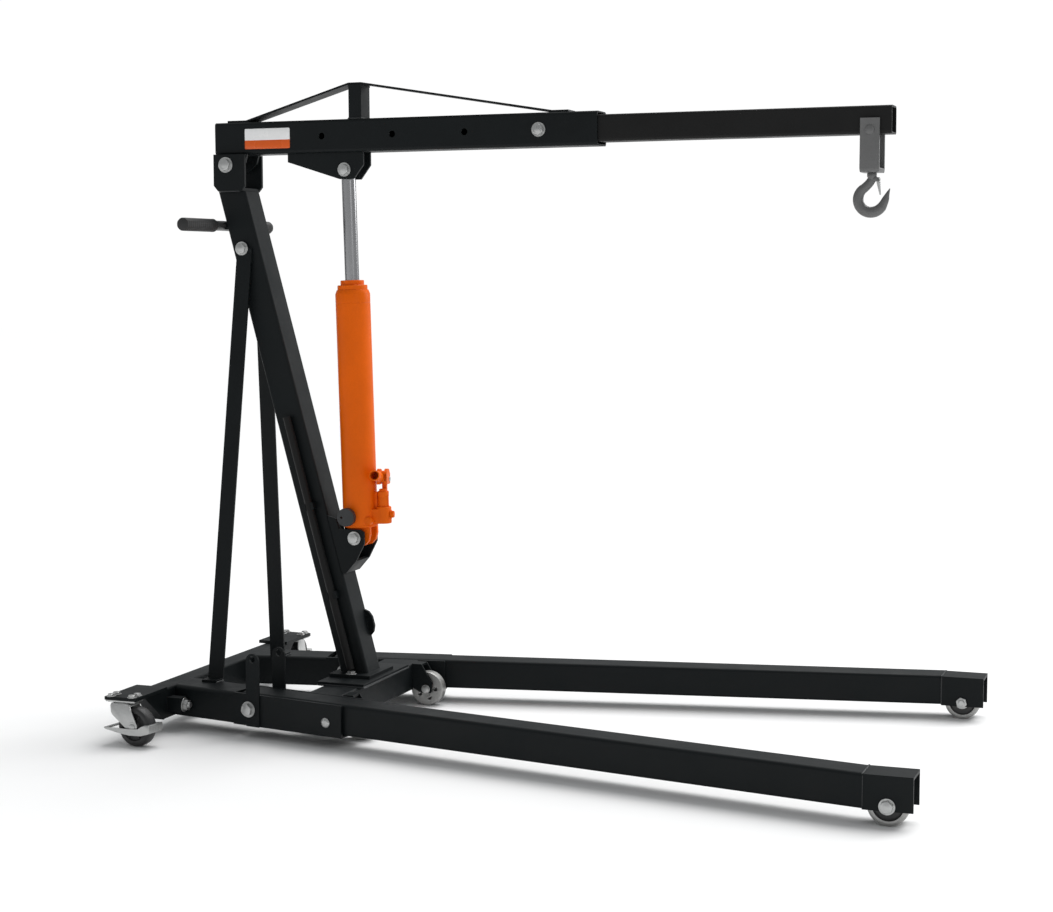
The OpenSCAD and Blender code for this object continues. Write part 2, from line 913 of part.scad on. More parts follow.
// ---------- legs ----------
module leg(s) {
  color(black) centred()
    difference() {
      leg_frame(s)
        difference() {
          translate([-30, 0, pivot_z])
            tube_x(1700, leg_w, leg_h, wall, 8);
          cyl_y(0, pivot_z, -60, 60, 18.1);
          cyl_y(lock_s, lock_z, -60, 60, 17);
          cyl_y(park_rise, pivot_z - ear_s, -60, 60, 17);
        }
      box(fork_x0, 2000, -900, 900, 0, 300);
    }
}

module leg_fork(s) {
  color(black) centred()
    translate([0, s * front_y, 0])
      difference() {
        union() {
          for (t = [-1, 1])
            box(fork_x0, fork_x1, t > 0 ? 34 : -40, t > 0 ? 40 : -34, fork_z0, fork_z1);
          box(fork_x0, fork_x1, -34, 34, fork_z1 - 6, fork_z1);
          box(fork_x0, fork_x0 + 5, -34, 34, fork_z0, fork_z1 - 6);
        }
        cyl_y(front_axle_x, wheel_d / 2, -60, 60, bolt_m + 2 * ghost);
      }
}

module front_axle(s) {
  color(steel) centred()
    translate([0, s * front_y, 0])
      bolt_y(front_axle_x, wheel_d / 2, -40, 80);
}

module front_wheel(s) {
  color(graphite) centred()
    wheel(front_axle_x, s * front_y, wheel_d, 58, 16.1, 0);
}

module leg_pivot_bolts() {
  color(steel) centred()
    for (s = [-1, 1])
      leg_frame(s)
        bolt_y(0, pivot_z, -sock_w / 2 - 5, sock_w + 10, 18, 27);
}

module leg_lock_pins() {
  color(steel) centred()
    for (s = [-1, 1])
      leg_frame(s)
        for (t = [-1, 1])
          rotate([0, 0, t > 0 ? 0 : 180])
            translate([t * lock_s, 0, 0]) {
              // stub in the wall and its head
              cyl_y(0, lock_z, sock_gap / 2 + 0.5, sock_w / 2 + 1, 16);
              cyl_y(0, lock_z, sock_w / 2, sock_w / 2 + 5, 24);
            }
}

// ---------- casters ----------
module caster_frame(s) {
  translate([caster_x, s * caster_y, 0])
    rotate([0, 0, s > 0 ? caster_swung : -caster_rest])
      children();
}

module caster_plates() {
  color(steel) centred()
    for (s = [-1, 1])
      difference() {
        translate([caster_x, s * caster_y, 104.4])
          translate([-39, -20, 0])
            cube([78, 40, 3.5]);
        for (dx = [-caster_px, caster_px])
          for (dy = [-caster_py, caster_py])
            translate([caster_x + dx, s * caster_y + dy, 100])
              cylinder(h = 20, d = 10.4);
      }
}

module caster_bolts() {
  color(steel) centred()
    for (s = [-1, 1])
      for (dx = [-caster_px, caster_px])
        for (dy = [-caster_py, caster_py])
          screw_down(caster_x + dx, s * caster_y + dy, mount_z, 10, 16, 12);
}

module caster_fork(s) {
  color(steel) centred()
    caster_frame(s) {
      difference() {
        union() {
          // raceway and crown
          translate([0, 0, 100])
            cylinder(h = 4.3, d = 50);
          box(-26, 30, -21, 21, 97, 100);
          // fork legs swept back to the axle
          for (t = [-1, 1])
            side_plate(t, [[-26, 98], [30, 98], [52, caster_d / 2 + 4], [50, caster_d / 2 - 10],
              [28, caster_d / 2 - 12], [-26, 76]], 18.5, 21);
        }
        cyl_y(caster_trail, caster_d / 2, -40, 40, 12.1);
      }
      // riveted axle
      cyl_y(caster_trail, caster_d / 2, -24, 24, 12);
      for (t = [-1, 1])
        cyl_y(caster_trail, caster_d / 2, t > 0 ? 21.05 : -24, t > 0 ? 24 : -21.05, 18);
    }
}

module caster_wheel(s) {
  color(rubber) centred()
    caster_frame(s)
      wheel(caster_trail, 0, caster_d, 32, 12.2, 0);
}

module brake_pedal(s) {
  color(steel) centred()
    caster_frame(s) {
      for (t = [-1, 1])
        side_plate(t, [[-36, 43], [-36, 39], [8, 32], [34, 30], [66, 31], [92, 38], [92, 58], [72, 55],
          [58, 46], [30, 44], [4, 44]], 24.6, 27);
      // pedal and toe ends joining both arms
      box(90, 92, -25, 25, 38, 58);
      box(-42, -34, -27, 27, 39, 43);
    }
}

rear_beam();
caster_mounts();
socket(-1);  // socket_right
socket(1);  // socket_left
cross_member();
mast_foot();
center_forks();
center_axles();
center_wheel(-1);  // center_wheel_right
center_wheel(1);  // center_wheel_left
mast();
mast_bolts();
head_bracket();
head_bolt();
brace(-1);  // brace_right
brace(1);  // brace_left
frame_bolts();
push_bar();
bar_bracket();
push_grips();
ram_bracket_lower();
lever_bar();
lever_clips();
boom_tube();
ram_bracket_upper();
king_post();
truss_straps();
boom_label();
boom_bolts();
boom_extension();
hook_yoke();
yoke_pin();
hook();
hook_latch();
ram_cylinder();
ram_rod();
pump_body();
pump_plunger();
pump_socket();
pump_pin();
release_knob();
leg(-1);  // leg_right
leg(1);  // leg_left
leg_fork(-1);  // leg_fork_right
leg_fork(1);  // leg_fork_left
front_axle(-1);  // front_axle_right
front_axle(1);  // front_axle_left
front_wheel(-1);  // front_wheel_right
front_wheel(1);  // front_wheel_left
leg_pivot_bolts();
leg_lock_pins();
caster_plates();
caster_bolts();
caster_fork(-1);  // caster_fork_right
caster_fork(1);  // caster_fork_left
caster_wheel(-1);  // caster_wheel_right
caster_wheel(1);  // caster_wheel_left
brake_pedal(-1);  // brake_pedal_right
brake_pedal(1);  // brake_pedal_left
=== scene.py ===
import json
import math
import random

import bmesh
import bpy
from mathutils import Matrix, Vector


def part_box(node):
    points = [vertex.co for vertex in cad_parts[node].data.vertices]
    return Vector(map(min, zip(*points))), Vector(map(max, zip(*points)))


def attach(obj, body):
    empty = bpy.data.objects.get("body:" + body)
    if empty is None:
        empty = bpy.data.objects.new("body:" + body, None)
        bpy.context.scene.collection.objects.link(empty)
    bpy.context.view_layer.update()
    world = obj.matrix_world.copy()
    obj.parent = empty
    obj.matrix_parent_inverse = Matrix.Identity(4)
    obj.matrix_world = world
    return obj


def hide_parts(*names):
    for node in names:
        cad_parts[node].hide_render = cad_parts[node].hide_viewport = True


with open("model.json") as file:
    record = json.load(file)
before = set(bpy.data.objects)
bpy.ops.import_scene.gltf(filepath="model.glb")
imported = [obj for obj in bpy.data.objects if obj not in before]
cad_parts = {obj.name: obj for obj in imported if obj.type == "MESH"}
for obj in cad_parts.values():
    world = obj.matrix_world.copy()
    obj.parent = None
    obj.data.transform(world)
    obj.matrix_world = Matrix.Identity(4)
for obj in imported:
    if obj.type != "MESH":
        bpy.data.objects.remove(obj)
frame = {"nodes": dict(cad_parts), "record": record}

random.seed(7)
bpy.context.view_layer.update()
NODES = frame["nodes"]
JOINTS = {j["name"]: j for j in frame["record"]["behaviour"]["joints"]}
BODY_OF = {n: b for b, ns in frame["record"]["behaviour"]["bodies"].items() for n in ns}
SLOT_OF = {s["node"]: s["material_slot"] for s in frame["record"]["subparts"]}
SIDES = ((-1, "right"), (1, "left"))
X, Y, Z = Vector((1, 0, 0)), Vector((0, 1, 0)), Vector((0, 0, 1))

# metric bolts: thread diameter, and the width across the flats of its head and nut
M10, M12, M16, M18 = 0.010, 0.012, 0.016, 0.018
FLATS = {M10: 0.016, M12: 0.019, M16: 0.024, M18: 0.027}
HEAD, NUT, TAIL, SCREW_HEAD = 0.65, 0.80, 0.30, 0.60    # heights over the thread diameter
WASHER = 0.09                                           # thickness over the flats


def joint_pos(name):
    return Vector(JOINTS[name]["pos_m"])


def joint_axis(name):
    return Vector(JOINTS[name]["axis"]).normalized()


# ---------------------------------------------------------------- materials

def new_material(name):
    m = bpy.data.materials.new(name)
    m.use_nodes = True
    nt = m.node_tree
    return m, nt, nt.nodes["Principled BSDF"]


def node(nt, kind, **values):
    n = nt.nodes.new(kind)
    for k, v in values.items():
        if k in n.inputs:
            n.inputs[k].default_value = v
        else:
            setattr(n, k, v)
    return n


def coords(nt, scale=(1, 1, 1)):
    tc = node(nt, "ShaderNodeTexCoord")
    mp = node(nt, "ShaderNodeMapping")
    mp.inputs["Scale"].default_value = scale
    nt.links.new(tc.outputs["Object"], mp.inputs["Vector"])
    return mp.outputs["Vector"]


def ramp(nt, source, stops):
    r = node(nt, "ShaderNodeValToRGB")
    els = r.color_ramp.elements
    while len(els) < len(stops):
        els.new(0.5)
    for e, (p, c) in zip(els, stops):
        e.position = p
        e.color = (c, c, c, 1) if isinstance(c, (int, float)) else (*c, 1)
    nt.links.new(source, r.inputs["Fac"])
    return r.outputs["Color"]


def mix(nt, fac, a, b, kind="MIX"):
    m = node(nt, "ShaderNodeMix", data_type="RGBA", blend_type=kind)
    for sock, val in ((m.inputs[0], fac), (m.inputs[6], a), (m.inputs[7], b)):
        if hasattr(val, "links"):
            nt.links.new(val, sock)
        elif isinstance(val, tuple):
            sock.default_value = (*val, 1)
        else:
            sock.default_value = val
    return m.outputs[2]


def math_node(nt, op, a, b):
    m = node(nt, "ShaderNodeMath", operation=op)
    for i, v in enumerate((a, b)):
        if hasattr(v, "links"):
            nt.links.new(v, m.inputs[i])
        else:
            m.inputs[i].default_value = v
    return m.outputs[0]


def edge_mask(nt, radius, low=0.02, high=0.25):
    """1 on convex and concave edges, 0 on flats, from the difference that rounding makes to the normal."""
    bev = node(nt, "ShaderNodeBevel", samples=4)
    bev.inputs["Radius"].default_value = radius
    geo = node(nt, "ShaderNodeNewGeometry")
    dot = node(nt, "ShaderNodeVectorMath", operation="DOT_PRODUCT")
    nt.links.new(bev.outputs[0], dot.inputs[0])
    nt.links.new(geo.outputs["Normal"], dot.inputs[1])
    inv = math_node(nt, "SUBTRACT", 1.0, dot.outputs["Value"])
    mr = node(nt, "ShaderNodeMapRange", clamp=True)
    mr.inputs["From Min"].default_value = low
    mr.inputs["From Max"].default_value = high
    nt.links.new(inv, mr.inputs["Value"])
    return mr.outputs[0], bev.outputs[0]


DRIFT_SCALE, DUST_SCALE, CHIP_SCALE = 9.0, 34.0, 120.0
GRAIN_DEPTH = 0.0004


def surface(name, base, rough, metallic=0.0, vary=0.12, wear=0.0, wear_color=(0.3, 0.3, 0.3), bump=0.1,
            grain=900, stretch=(1, 1, 1), coat=0.0, spec=0.5, rough_vary=0.1, edge=0.0012, dirt=0.0,
            dirt_color=(0.1, 0.09, 0.08)):
    """Procedural finish: colour drift, fine grain in the bump, worn edges, faint dust and rounded normals."""
    m, nt, b = new_material(name)
    b.inputs["Metallic"].default_value = metallic
    b.inputs["Coat Weight"].default_value = coat
    b.inputs["Specular IOR Level"].default_value = spec
    vec = coords(nt, stretch)
    broad = node(nt, "ShaderNodeTexNoise", Scale=DRIFT_SCALE, Detail=5.0, Roughness=0.6)
    fine = node(nt, "ShaderNodeTexNoise", Scale=float(grain), Detail=3.0, Roughness=0.6)
    for n in (broad, fine):
        nt.links.new(vec, n.inputs["Vector"])
    lo = tuple(c * (1 - vary) for c in base)
    hi = tuple(min(1, c * (1 + vary)) for c in base)
    col = ramp(nt, broad.outputs["Fac"], [(0.3, lo), (0.7, hi)])
    grainy = ramp(nt, fine.outputs["Fac"], [(0.35, 1 - vary * 0.6), (0.65, 1.0)])
    col = mix(nt, 1.0, col, grainy, "MULTIPLY")
    if dirt:
        dust = node(nt, "ShaderNodeTexNoise", Scale=DUST_SCALE, Detail=7.0, Roughness=0.72)
        nt.links.new(vec, dust.inputs["Vector"])
        col = mix(nt, ramp(nt, dust.outputs["Fac"], [(0.52, 0.0), (0.8, dirt)]), col, dirt_color)
    mask, normal = edge_mask(nt, edge)
    if wear:
        chips = node(nt, "ShaderNodeTexNoise", Scale=CHIP_SCALE, Detail=5.0, Roughness=0.75)
        nt.links.new(vec, chips.inputs["Vector"])
        broken = ramp(nt, chips.outputs["Fac"], [(0.45, 0.0), (0.62, 1.0)])
        amount = math_node(nt, "MULTIPLY", math_node(nt, "MULTIPLY", mask, broken), wear)
        col = mix(nt, amount, col, wear_color)
    nt.links.new(col, b.inputs["Base Color"])
    r = ramp(nt, broad.outputs["Fac"], [(0.3, max(0.02, rough - rough_vary)),
                                        (0.7, min(1.0, rough + rough_vary))])
    nt.links.new(r, b.inputs["Roughness"])
    bp = node(nt, "ShaderNodeBump", Strength=bump, Distance=GRAIN_DEPTH)
    nt.links.new(fine.outputs["Fac"], bp.inputs["Height"])
    nt.links.new(normal, bp.inputs["Normal"])
    nt.links.new(bp.outputs["Normal"], b.inputs["Normal"])
    return m


def build_materials():
    black = dict(rough=0.5, vary=0.16, bump=0.3, grain=420, spec=0.16, edge=0.0016)
    return {
        "black_paint": surface("powder_coat_black", (0.0052, 0.0072, 0.0080), wear=0.35,
                               wear_color=(0.07, 0.075, 0.08), dirt=0.08,
                               dirt_color=(0.020, 0.021, 0.021), **black),
        "graphite_paint": surface("powder_coat_graphite", (0.0105, 0.0105, 0.0105), wear=0.3,
                                  wear_color=(0.09, 0.09, 0.09), dirt=0.08,
                                  dirt_color=(0.026, 0.026, 0.026), **black),
        "bar_paint": surface("bar_grey", (0.085, 0.085, 0.085), rough=0.38, metallic=0.3, vary=0.12,
                             bump=0.15, grain=500, wear=0.3),
        "zinc": surface("zinc_plate", (0.50, 0.505, 0.50), rough=0.34, metallic=0.85, vary=0.13,
                        bump=0.12, grain=700, wear=0.3, wear_color=(0.78, 0.78, 0.77), dirt=0.18,
                        dirt_color=(0.20, 0.19, 0.17), edge=0.0005),
        "orange_paint": surface("gloss_orange", (0.82, 0.128, 0.001), rough=0.42, vary=0.06, bump=0.06,
                                grain=240, coat=0.0, spec=0.12, wear=0.12,
                                wear_color=(0.45, 0.12, 0.03), dirt=0.06,
                                dirt_color=(0.25, 0.06, 0.015)),
        "hard_chrome": surface("hard_chrome", (0.42, 0.42, 0.43), rough=0.24, metallic=1.0, vary=0.05,
                               bump=0.04, grain=600, stretch=(1, 1, 0.08), rough_vary=0.05),
        "hook_finish": surface("hook_grey", (0.135, 0.135, 0.135), rough=0.42, metallic=0.25, vary=0.14,
                               bump=0.3, grain=330, wear=0.5, wear_color=(0.42, 0.42, 0.42), dirt=0.15,
                               dirt_color=(0.06, 0.06, 0.058), edge=0.0008),
        "grip_rubber": surface("grip_rubber", (0.018, 0.018, 0.0185), rough=0.6, vary=0.2, bump=0.4,
                               grain=650, dirt=0.2, dirt_color=(0.05, 0.05, 0.05)),
        "knob_plastic": surface("knob_plastic", (0.022, 0.024, 0.026), rough=0.45, vary=0.15, bump=0.25,
                                grain=520, wear=0.3, wear_color=(0.08, 0.08, 0.08)),
        "label_white": surface("label_white", (0.86, 0.86, 0.86), rough=0.32, vary=0.03, bump=0.03,
                               grain=200, dirt=0.05, dirt_color=(0.55, 0.54, 0.52)),
        "label_orange": surface("label_orange", (0.80, 0.115, 0.006), rough=0.32, vary=0.05, bump=0.03,
                                grain=200, dirt=0.05, dirt_color=(0.5, 0.1, 0.02)),
        "wheel_iron": surface("wheel_metal", (0.40, 0.40, 0.39), rough=0.36, metallic=0.8, vary=0.16,
                              bump=0.3, grain=280, wear=0.3, wear_color=(0.7, 0.7, 0.68), dirt=0.3,
                              dirt_color=(0.13, 0.12, 0.11), edge=0.0008),
        "wheel_dark": surface("wheel_dark", (0.05, 0.05, 0.05), rough=0.42, metallic=0.4, vary=0.2,
                              bump=0.3, grain=300, wear=0.4, wear_color=(0.2, 0.2, 0.2), dirt=0.3,
                              dirt_color=(0.12, 0.12, 0.11)),
        "caster_plastic": surface("caster_tread", (0.017, 0.017, 0.018), rough=0.5, vary=0.2, bump=0.35,
                                  grain=420, dirt=0.35, dirt_color=(0.06, 0.058, 0.055)),
        "weld": surface("weld_painted", (0.012, 0.0145, 0.016), rough=0.38, vary=0.2, bump=0.5,
                        grain=300, spec=0.5),
    }


MAT = build_materials()


# ---------------------------------------------------------------- mesh helpers

def frame_of(axis, up=None):
    """Rotation whose Z is axis; X is as near to up as it can be."""
    a = Vector(axis).normalized()
    u = Vector(up) if up is not None else (X if abs(a.x) < 0.9 else Y)
    u = (u - a * u.dot(a)).normalized()
    return Matrix((u, a.cross(u), a)).transposed().to_4x4()


def place(center, axis=Z, up=None):
    return Matrix.Translation(Vector(center)) @ frame_of(axis, up)


def lathe(bm, profile, n=48, radius=None):
    """Turned shape about Z from (r, z) points in order; closed to the axis where r is 0."""
    rings = []
    for r, z in profile:
        if r <= 1e-7:
            rings.append([bm.verts.new((0, 0, z))])
            continue
        ring = []
        for i in range(n):
            a = 2 * math.pi * i / n
            q = r * (radius(a, r, z) if radius else 1.0)
            ring.append(bm.verts.new((q * math.cos(a), q * math.sin(a), z)))
        rings.append(ring)
    for a, b in zip(rings, rings[1:]):
        if len(a) == 1 and len(b) == 1:
            continue
        for i in range(n):
            j = (i + 1) % n
            if len(a) == 1:
                bm.faces.new((a[0], b[i], b[j]))
            elif len(b) == 1:
                bm.faces.new((a[i], b[0], a[j]))
            else:
                bm.faces.new((a[i], b[i], b[j], a[j]))


def prism(bm, outline, z0, z1, bevel=0.0, segments=2):
    """Flat plate from an outline in X and Y, with its edges rounded."""
    low = [bm.verts.new((x, y, z0)) for x, y in outline]
    high = [bm.verts.new((x, y, z1)) for x, y in outline]
    n = len(outline)
    faces = [bm.faces.new(low[::-1]), bm.faces.new(high)]
    for i in range(n):
        j = (i + 1) % n
        faces.append(bm.faces.new((low[i], low[j], high[j], high[i])))
    if bevel:
        edges = list({e for f in faces[:2] for e in f.edges})
        bmesh.ops.bevel(bm, geom=edges, offset=bevel, segments=segments, affect="EDGES", profile=0.5)


def hex_radius(a, flat):
    """Distance from the middle of a hexagon of this flat radius to its side, at angle a."""
    s = (a + math.pi / 6) % (math.pi / 3) - math.pi / 6
    return flat / math.cos(s)


HEX_STEPS = 72
CHAMFER_AT, CHAMFER_SLOPE, FACE_EDGE = 0.97, 0.62, 0.99


def hex_body(bm, af, z0, z1, bottom=False, bore=0.0):
    """Hexagon with the turned chamfer of a real bolt head on top, and under it when bottom is set."""
    flat = af / 2
    limit = flat * CHAMFER_AT
    angles = [2 * math.pi * i / HEX_STEPS for i in range(HEX_STEPS)]

    def ring(z, fixed=None):
        radii = [fixed if fixed is not None else hex_radius(a, flat) for a in angles]
        return [bm.verts.new((r * math.cos(a), r * math.sin(a), z)) for a, r in zip(angles, radii)]

    def chamfered(z, sign):
        vs = []
        for a in angles:
            r = hex_radius(a, flat)
            drop = max(0.0, r - limit) * CHAMFER_SLOPE
            vs.append(bm.verts.new((r * math.cos(a), r * math.sin(a), z - sign * drop)))
        return vs

    rings = [ring(z0, fixed=bore)] if bore else []
    if bottom:
        rings += [ring(z0, fixed=limit * FACE_EDGE), chamfered(z0, -1)]
    else:
        rings.append(ring(z0))
    rings += [chamfered(z1, 1), ring(z1, fixed=limit * FACE_EDGE)]
    if bore:
        rings += [ring(z1, fixed=bore), rings[0]]
    for a, b in zip(rings, rings[1:]):
        for i in range(HEX_STEPS):
            j = (i + 1) % HEX_STEPS
            bm.faces.new((a[i], b[i], b[j], a[j]))
    if not bore:
        bm.faces.new(rings[0])
        bm.faces.new(rings[-1][::-1])


def add_part(bm, build, matrix=None):
    """Runs build on an empty mesh, moves it and joins it into bm."""
    part = bmesh.new()
    build(part)
    if matrix is not None:
        bmesh.ops.transform(part, matrix=matrix, verts=part.verts)
    tmp = bpy.data.meshes.new("part_tmp")
    part.to_mesh(tmp)
    part.free()
    bm.from_mesh(tmp)
    bpy.data.meshes.remove(tmp)


def turned(bm, profile, at=None, n=48, radius=None):
    """Lathe part of the piece, moved by the matrix at."""
    add_part(bm, lambda b: lathe(b, profile, n, radius), at)


def rod(bm, radius, z0, z1, at=None, n=32):
    """Plain round bar along Z."""
    turned(bm, [(0, z0), (radius, z0), (radius, z1), (0, z1)], at, n)


def plate(bm, outline, z0, z1, bevel=0.0, at=None):
    """Prism part of the piece, moved by the matrix at."""
    add_part(bm, lambda b: prism(b, outline, z0, z1, bevel), at)


def make(name, build, material, body, matrix=None, replaces=None, sharp=32):
    """One piece: built with bmesh, smooth with sharp edges kept, riding on its body."""
    bm = bmesh.new()
    build(bm)
    bmesh.ops.remove_doubles(bm, verts=bm.verts, dist=1e-7)
    bmesh.ops.recalc_face_normals(bm, faces=bm.faces)
    me = bpy.data.meshes.new(name)
    bm.to_mesh(me)
    bm.free()
    if matrix is not None:
        me.transform(matrix)
    ob = bpy.data.objects.new(name, me)
    bpy.context.scene.collection.objects.link(ob)
    for m in (material if isinstance(material, (list, tuple)) else [material]):
        me.materials.append(MAT[m])
    me.shade_smooth()
    me.set_sharp_from_angle(angle=math.radians(sharp))
    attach(ob, body)
    if replaces:
        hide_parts(replaces)


def rounded_outline(points, radius, segments=5):
    """Outline with each corner rounded by an arc."""
    out = []
    n = len(points)
    for i in range(n):
        p0, p1, p2 = (Vector(points[(i + k) % n]) for k in (-1, 0, 1))
        r = radius[i] if isinstance(radius, (list, tuple)) else radius
        a, b = (p0 - p1).normalized(), (p2 - p1).normalized()
        ang = a.angle(b)
        t = min(r / math.tan(ang / 2) if ang < math.pi - 1e-3 else 0, (p0 - p1).length * 0.49,
                (p2 - p1).length * 0.49)
        if t <= 1e-6:
            out.append(tuple(p1))
            continue
        s, e = p1 + a * t, p1 + b * t
        for k in range(segments + 1):
            u = k / segments
            out.append(tuple((1 - u) ** 2 * s + 2 * u * (1 - u) * p1 + u * u * e))
    return out


def sweep(bm, points, section, n):
    """Skin along 3-D points; section(i, t) gives (half width, half height, side vector, up vector)."""
    rings = []
    count = len(points)
    for i, p in enumerate(points):
        w, h, side, up = section(i, i / (count - 1))
        rings.append([bm.verts.new(Vector(p) + side * (w * math.cos(2 * math.pi * k / n))
                                   + up * (h * math.sin(2 * math.pi * k / n))) for k in range(n)])
    for a, b in zip(rings, rings[1:]):
        for k in range(n):
            j = (k + 1) % n
            bm.faces.new((a[k], a[j], b[j], b[k]))
    bm.faces.new(rings[0][::-1])
    bm.faces.new(rings[-1])


def spline(points, steps):
    """Catmull-Rom curve through the points."""
    pts = [Vector(p) for p in points]
    pts = [pts[0] * 2 - pts[1]] + pts + [pts[-1] * 2 - pts[-2]]
    out = []
    for i in range(1, len(pts) - 2):
        a, b, c, d = pts[i - 1:i + 3]
        for k in range(steps):
            t = k / steps
            out.append(0.5 * (2 * b + (c - a) * t + (2 * a - 5 * b + 4 * c - d) * t * t
                              + (3 * b - a - 3 * c + d) * t ** 3))
    out.append(pts[-2])
    return out


# ---------------------------------------------------------------- fasteners

def washer(bm, af, inner, at):
    """Washer standing on z = 0. Gives its thickness."""
    t = af * WASHER
    turned(bm, [(inner, 0), (af * 0.70, 0), (af * 0.72, t * 0.3), (af * 0.72, t * 0.7), (af * 0.70, t),
                (inner, t), (inner, 0)], at)
    return t


def bolt_head(bm, af, height, at):
    """Bolt head standing up from z = 0 on its washer, with a shallow dish in its face."""
    lift = washer(bm, af, af * 0.25, at)
    add_part(bm, lambda b: hex_body(b, af, lift, height), at)
    dish = af * 0.30
    proud, sunk, floor = height + 0.00015, height - 0.0002, height - 0.0006
    turned(bm, [(0, proud), (dish * 0.9, proud), (dish, sunk), (dish, floor), (0, floor)], at)


def nut_end(bm, m, at, tail=None):
    """Washer, nut and the thread's end for an M bolt, standing up from z = 0."""
    af = FLATS[m]
    top = m * NUT
    end = top + (m * TAIL if tail is None else tail)
    lift = washer(bm, af, m * 0.52, at)
    add_part(bm, lambda b: hex_body(b, af, lift, top, bottom=True, bore=m * 0.5), at)
    pitch = m * 0.11
    prof = [(0, lift)]
    z = lift
    while z < end - pitch:
        prof += [(m * 0.5, z), (m * 0.46, z + pitch / 2)]
        z += pitch
    prof += [(m * 0.47, end - pitch * 0.5), (m * 0.40, end), (0, end)]
    turned(bm, prof, at, n=28)


def through_bolt(bm, box, axis, m, head_at_low=True, turn=0.0):
    """Bolt that fills a CAD bolt's box along one axis."""
    lo, hi = box
    k = max(range(3), key=lambda i: abs(axis[i]))
    sign = 1 if head_at_low else -1
    near, far = (lo[k], hi[k]) if head_at_low else (hi[k], lo[k])
    start, end = (lo + hi) / 2, (lo + hi) / 2
    start[k] = near + sign * m * HEAD
    end[k] = far - sign * m * (NUT + TAIL)
    out = Vector((0, 0, 0))
    out[k] = -sign
    up = Matrix.Rotation(turn, 3, out) @ (Z if k != 2 else X)
    bolt_head(bm, FLATS[m], m * HEAD, place(start, out, up))
    nut_end(bm, m, place(end, -out, up))
    rod(bm, m / 2, 0, (end - start).length, place(start, -out, up))


def islands(node_name):
    """Boxes of a CAD node's separate solids."""
    me = NODES[node_name].data
    co = [v.co.copy() for v in me.vertices]
    key = {}
    parent = list(range(len(co)))

    def find(i):
        while parent[i] != i:
            parent[i] = parent[parent[i]]
            i = parent[i]
        return i

    for i, c in enumerate(co):
        k = (round(c.x, 5), round(c.y, 5), round(c.z, 5))
        if k in key:
            parent[find(i)] = find(key[k])
        else:
            key[k] = i
    for p in me.polygons:
        f = find(p.vertices[0])
        for v in p.vertices[1:]:
            parent[find(v)] = f
            f = find(f)
    groups = {}
    for i, c in enumerate(co):
        groups.setdefault(find(i), []).append(c)
    out = []
    for g in groups.values():
        lo = Vector((min(c[k] for c in g) for k in range(3)))
        hi = Vector((max(c[k] for c in g) for k in range(3)))
        out.append((lo, hi))
    # solids that touch are one fastener
    touch = 2e-4
    merged = True
    while merged:
        merged = False
        for i in range(len(out)):
            for j in range(i + 1, len(out)):
                (al, ah), (bl, bh) = out[i], out[j]
                if all(al[k] <= bh[k] + touch and bl[k] <= ah[k] + touch for k in range(3)):
                    out[i] = (Vector(map(min, al, bl)), Vector(map(max, ah, bh)))
                    out.pop(j)
                    merged = True
                    break
            if merged:
                break
    return sorted(out, key=lambda b: tuple(b[0]))


# ---------------------------------------------------------------- camera, floor and light

LENS, SENSOR = 69.9, 36.0
CAMERA_AT, CAMERA_TURN = (1.6047, -4.6187, 1.1177), (84.858, 0, 19.923)
FLOOR_SIZE, FLOOR_STEPS = 60.0, 24
BACKDROP, SKY_COLOR, SKY_POWER = 1.02, (0.97, 0.99, 1.0, 1), 0.42
SUN_POWER, SUN_WIDTH, SUN_AIM = 2.6, 46, (-0.22, -0.50, -1.0)
# name, place, target, side, watts
AREA_LIGHTS = (("front_right", (4.5, -4.2, 2.8), (0, 0, 0.7), 2.2, 14),
               ("back_right", (3.2, 3.6, 2.6), (0, 0, 0.9), 2.0, 60))


def build_camera():
    cam = bpy.data.cameras.new("camera")
    ob = bpy.data.objects.new("camera", cam)
    bpy.context.scene.collection.objects.link(ob)
    cam.lens, cam.sensor_width, cam.sensor_fit = LENS, SENSOR, "HORIZONTAL"
    cam.clip_start, cam.clip_end = 0.05, 200.0
    ob.location = CAMERA_AT
    ob.rotation_euler = [math.radians(a) for a in CAMERA_TURN]
    bpy.context.scene.camera = ob


def build_floor():
    me = bpy.data.meshes.new("floor")
    bm = bmesh.new()
    at = [FLOOR_SIZE * (i / FLOOR_STEPS - 0.5) for i in range(FLOOR_STEPS + 1)]
    grid = [[bm.verts.new((x, y, 0)) for y in at] for x in at]
    for i in range(FLOOR_STEPS):
        for j in range(FLOOR_STEPS):
            bm.faces.new((grid[i][j], grid[i + 1][j], grid[i + 1][j + 1], grid[i][j + 1]))
    bm.to_mesh(me)
    bm.free()
    floor = bpy.data.objects.new("floor", me)
    bpy.context.scene.collection.objects.link(floor)
    m, nt, b = new_material("floor_pale")
    tex = node(nt, "ShaderNodeTexNoise", Scale=3.0, Detail=3.0)
    nt.links.new(coords(nt), tex.inputs["Vector"])
    nt.links.new(ramp(nt, tex.outputs["Fac"], [(0.3, 0.895), (0.7, 0.905)]), b.inputs["Base Color"])
    b.inputs["Roughness"].default_value = 0.9
    b.inputs["Specular IOR Level"].default_value = 0.1
    me.materials.append(m)


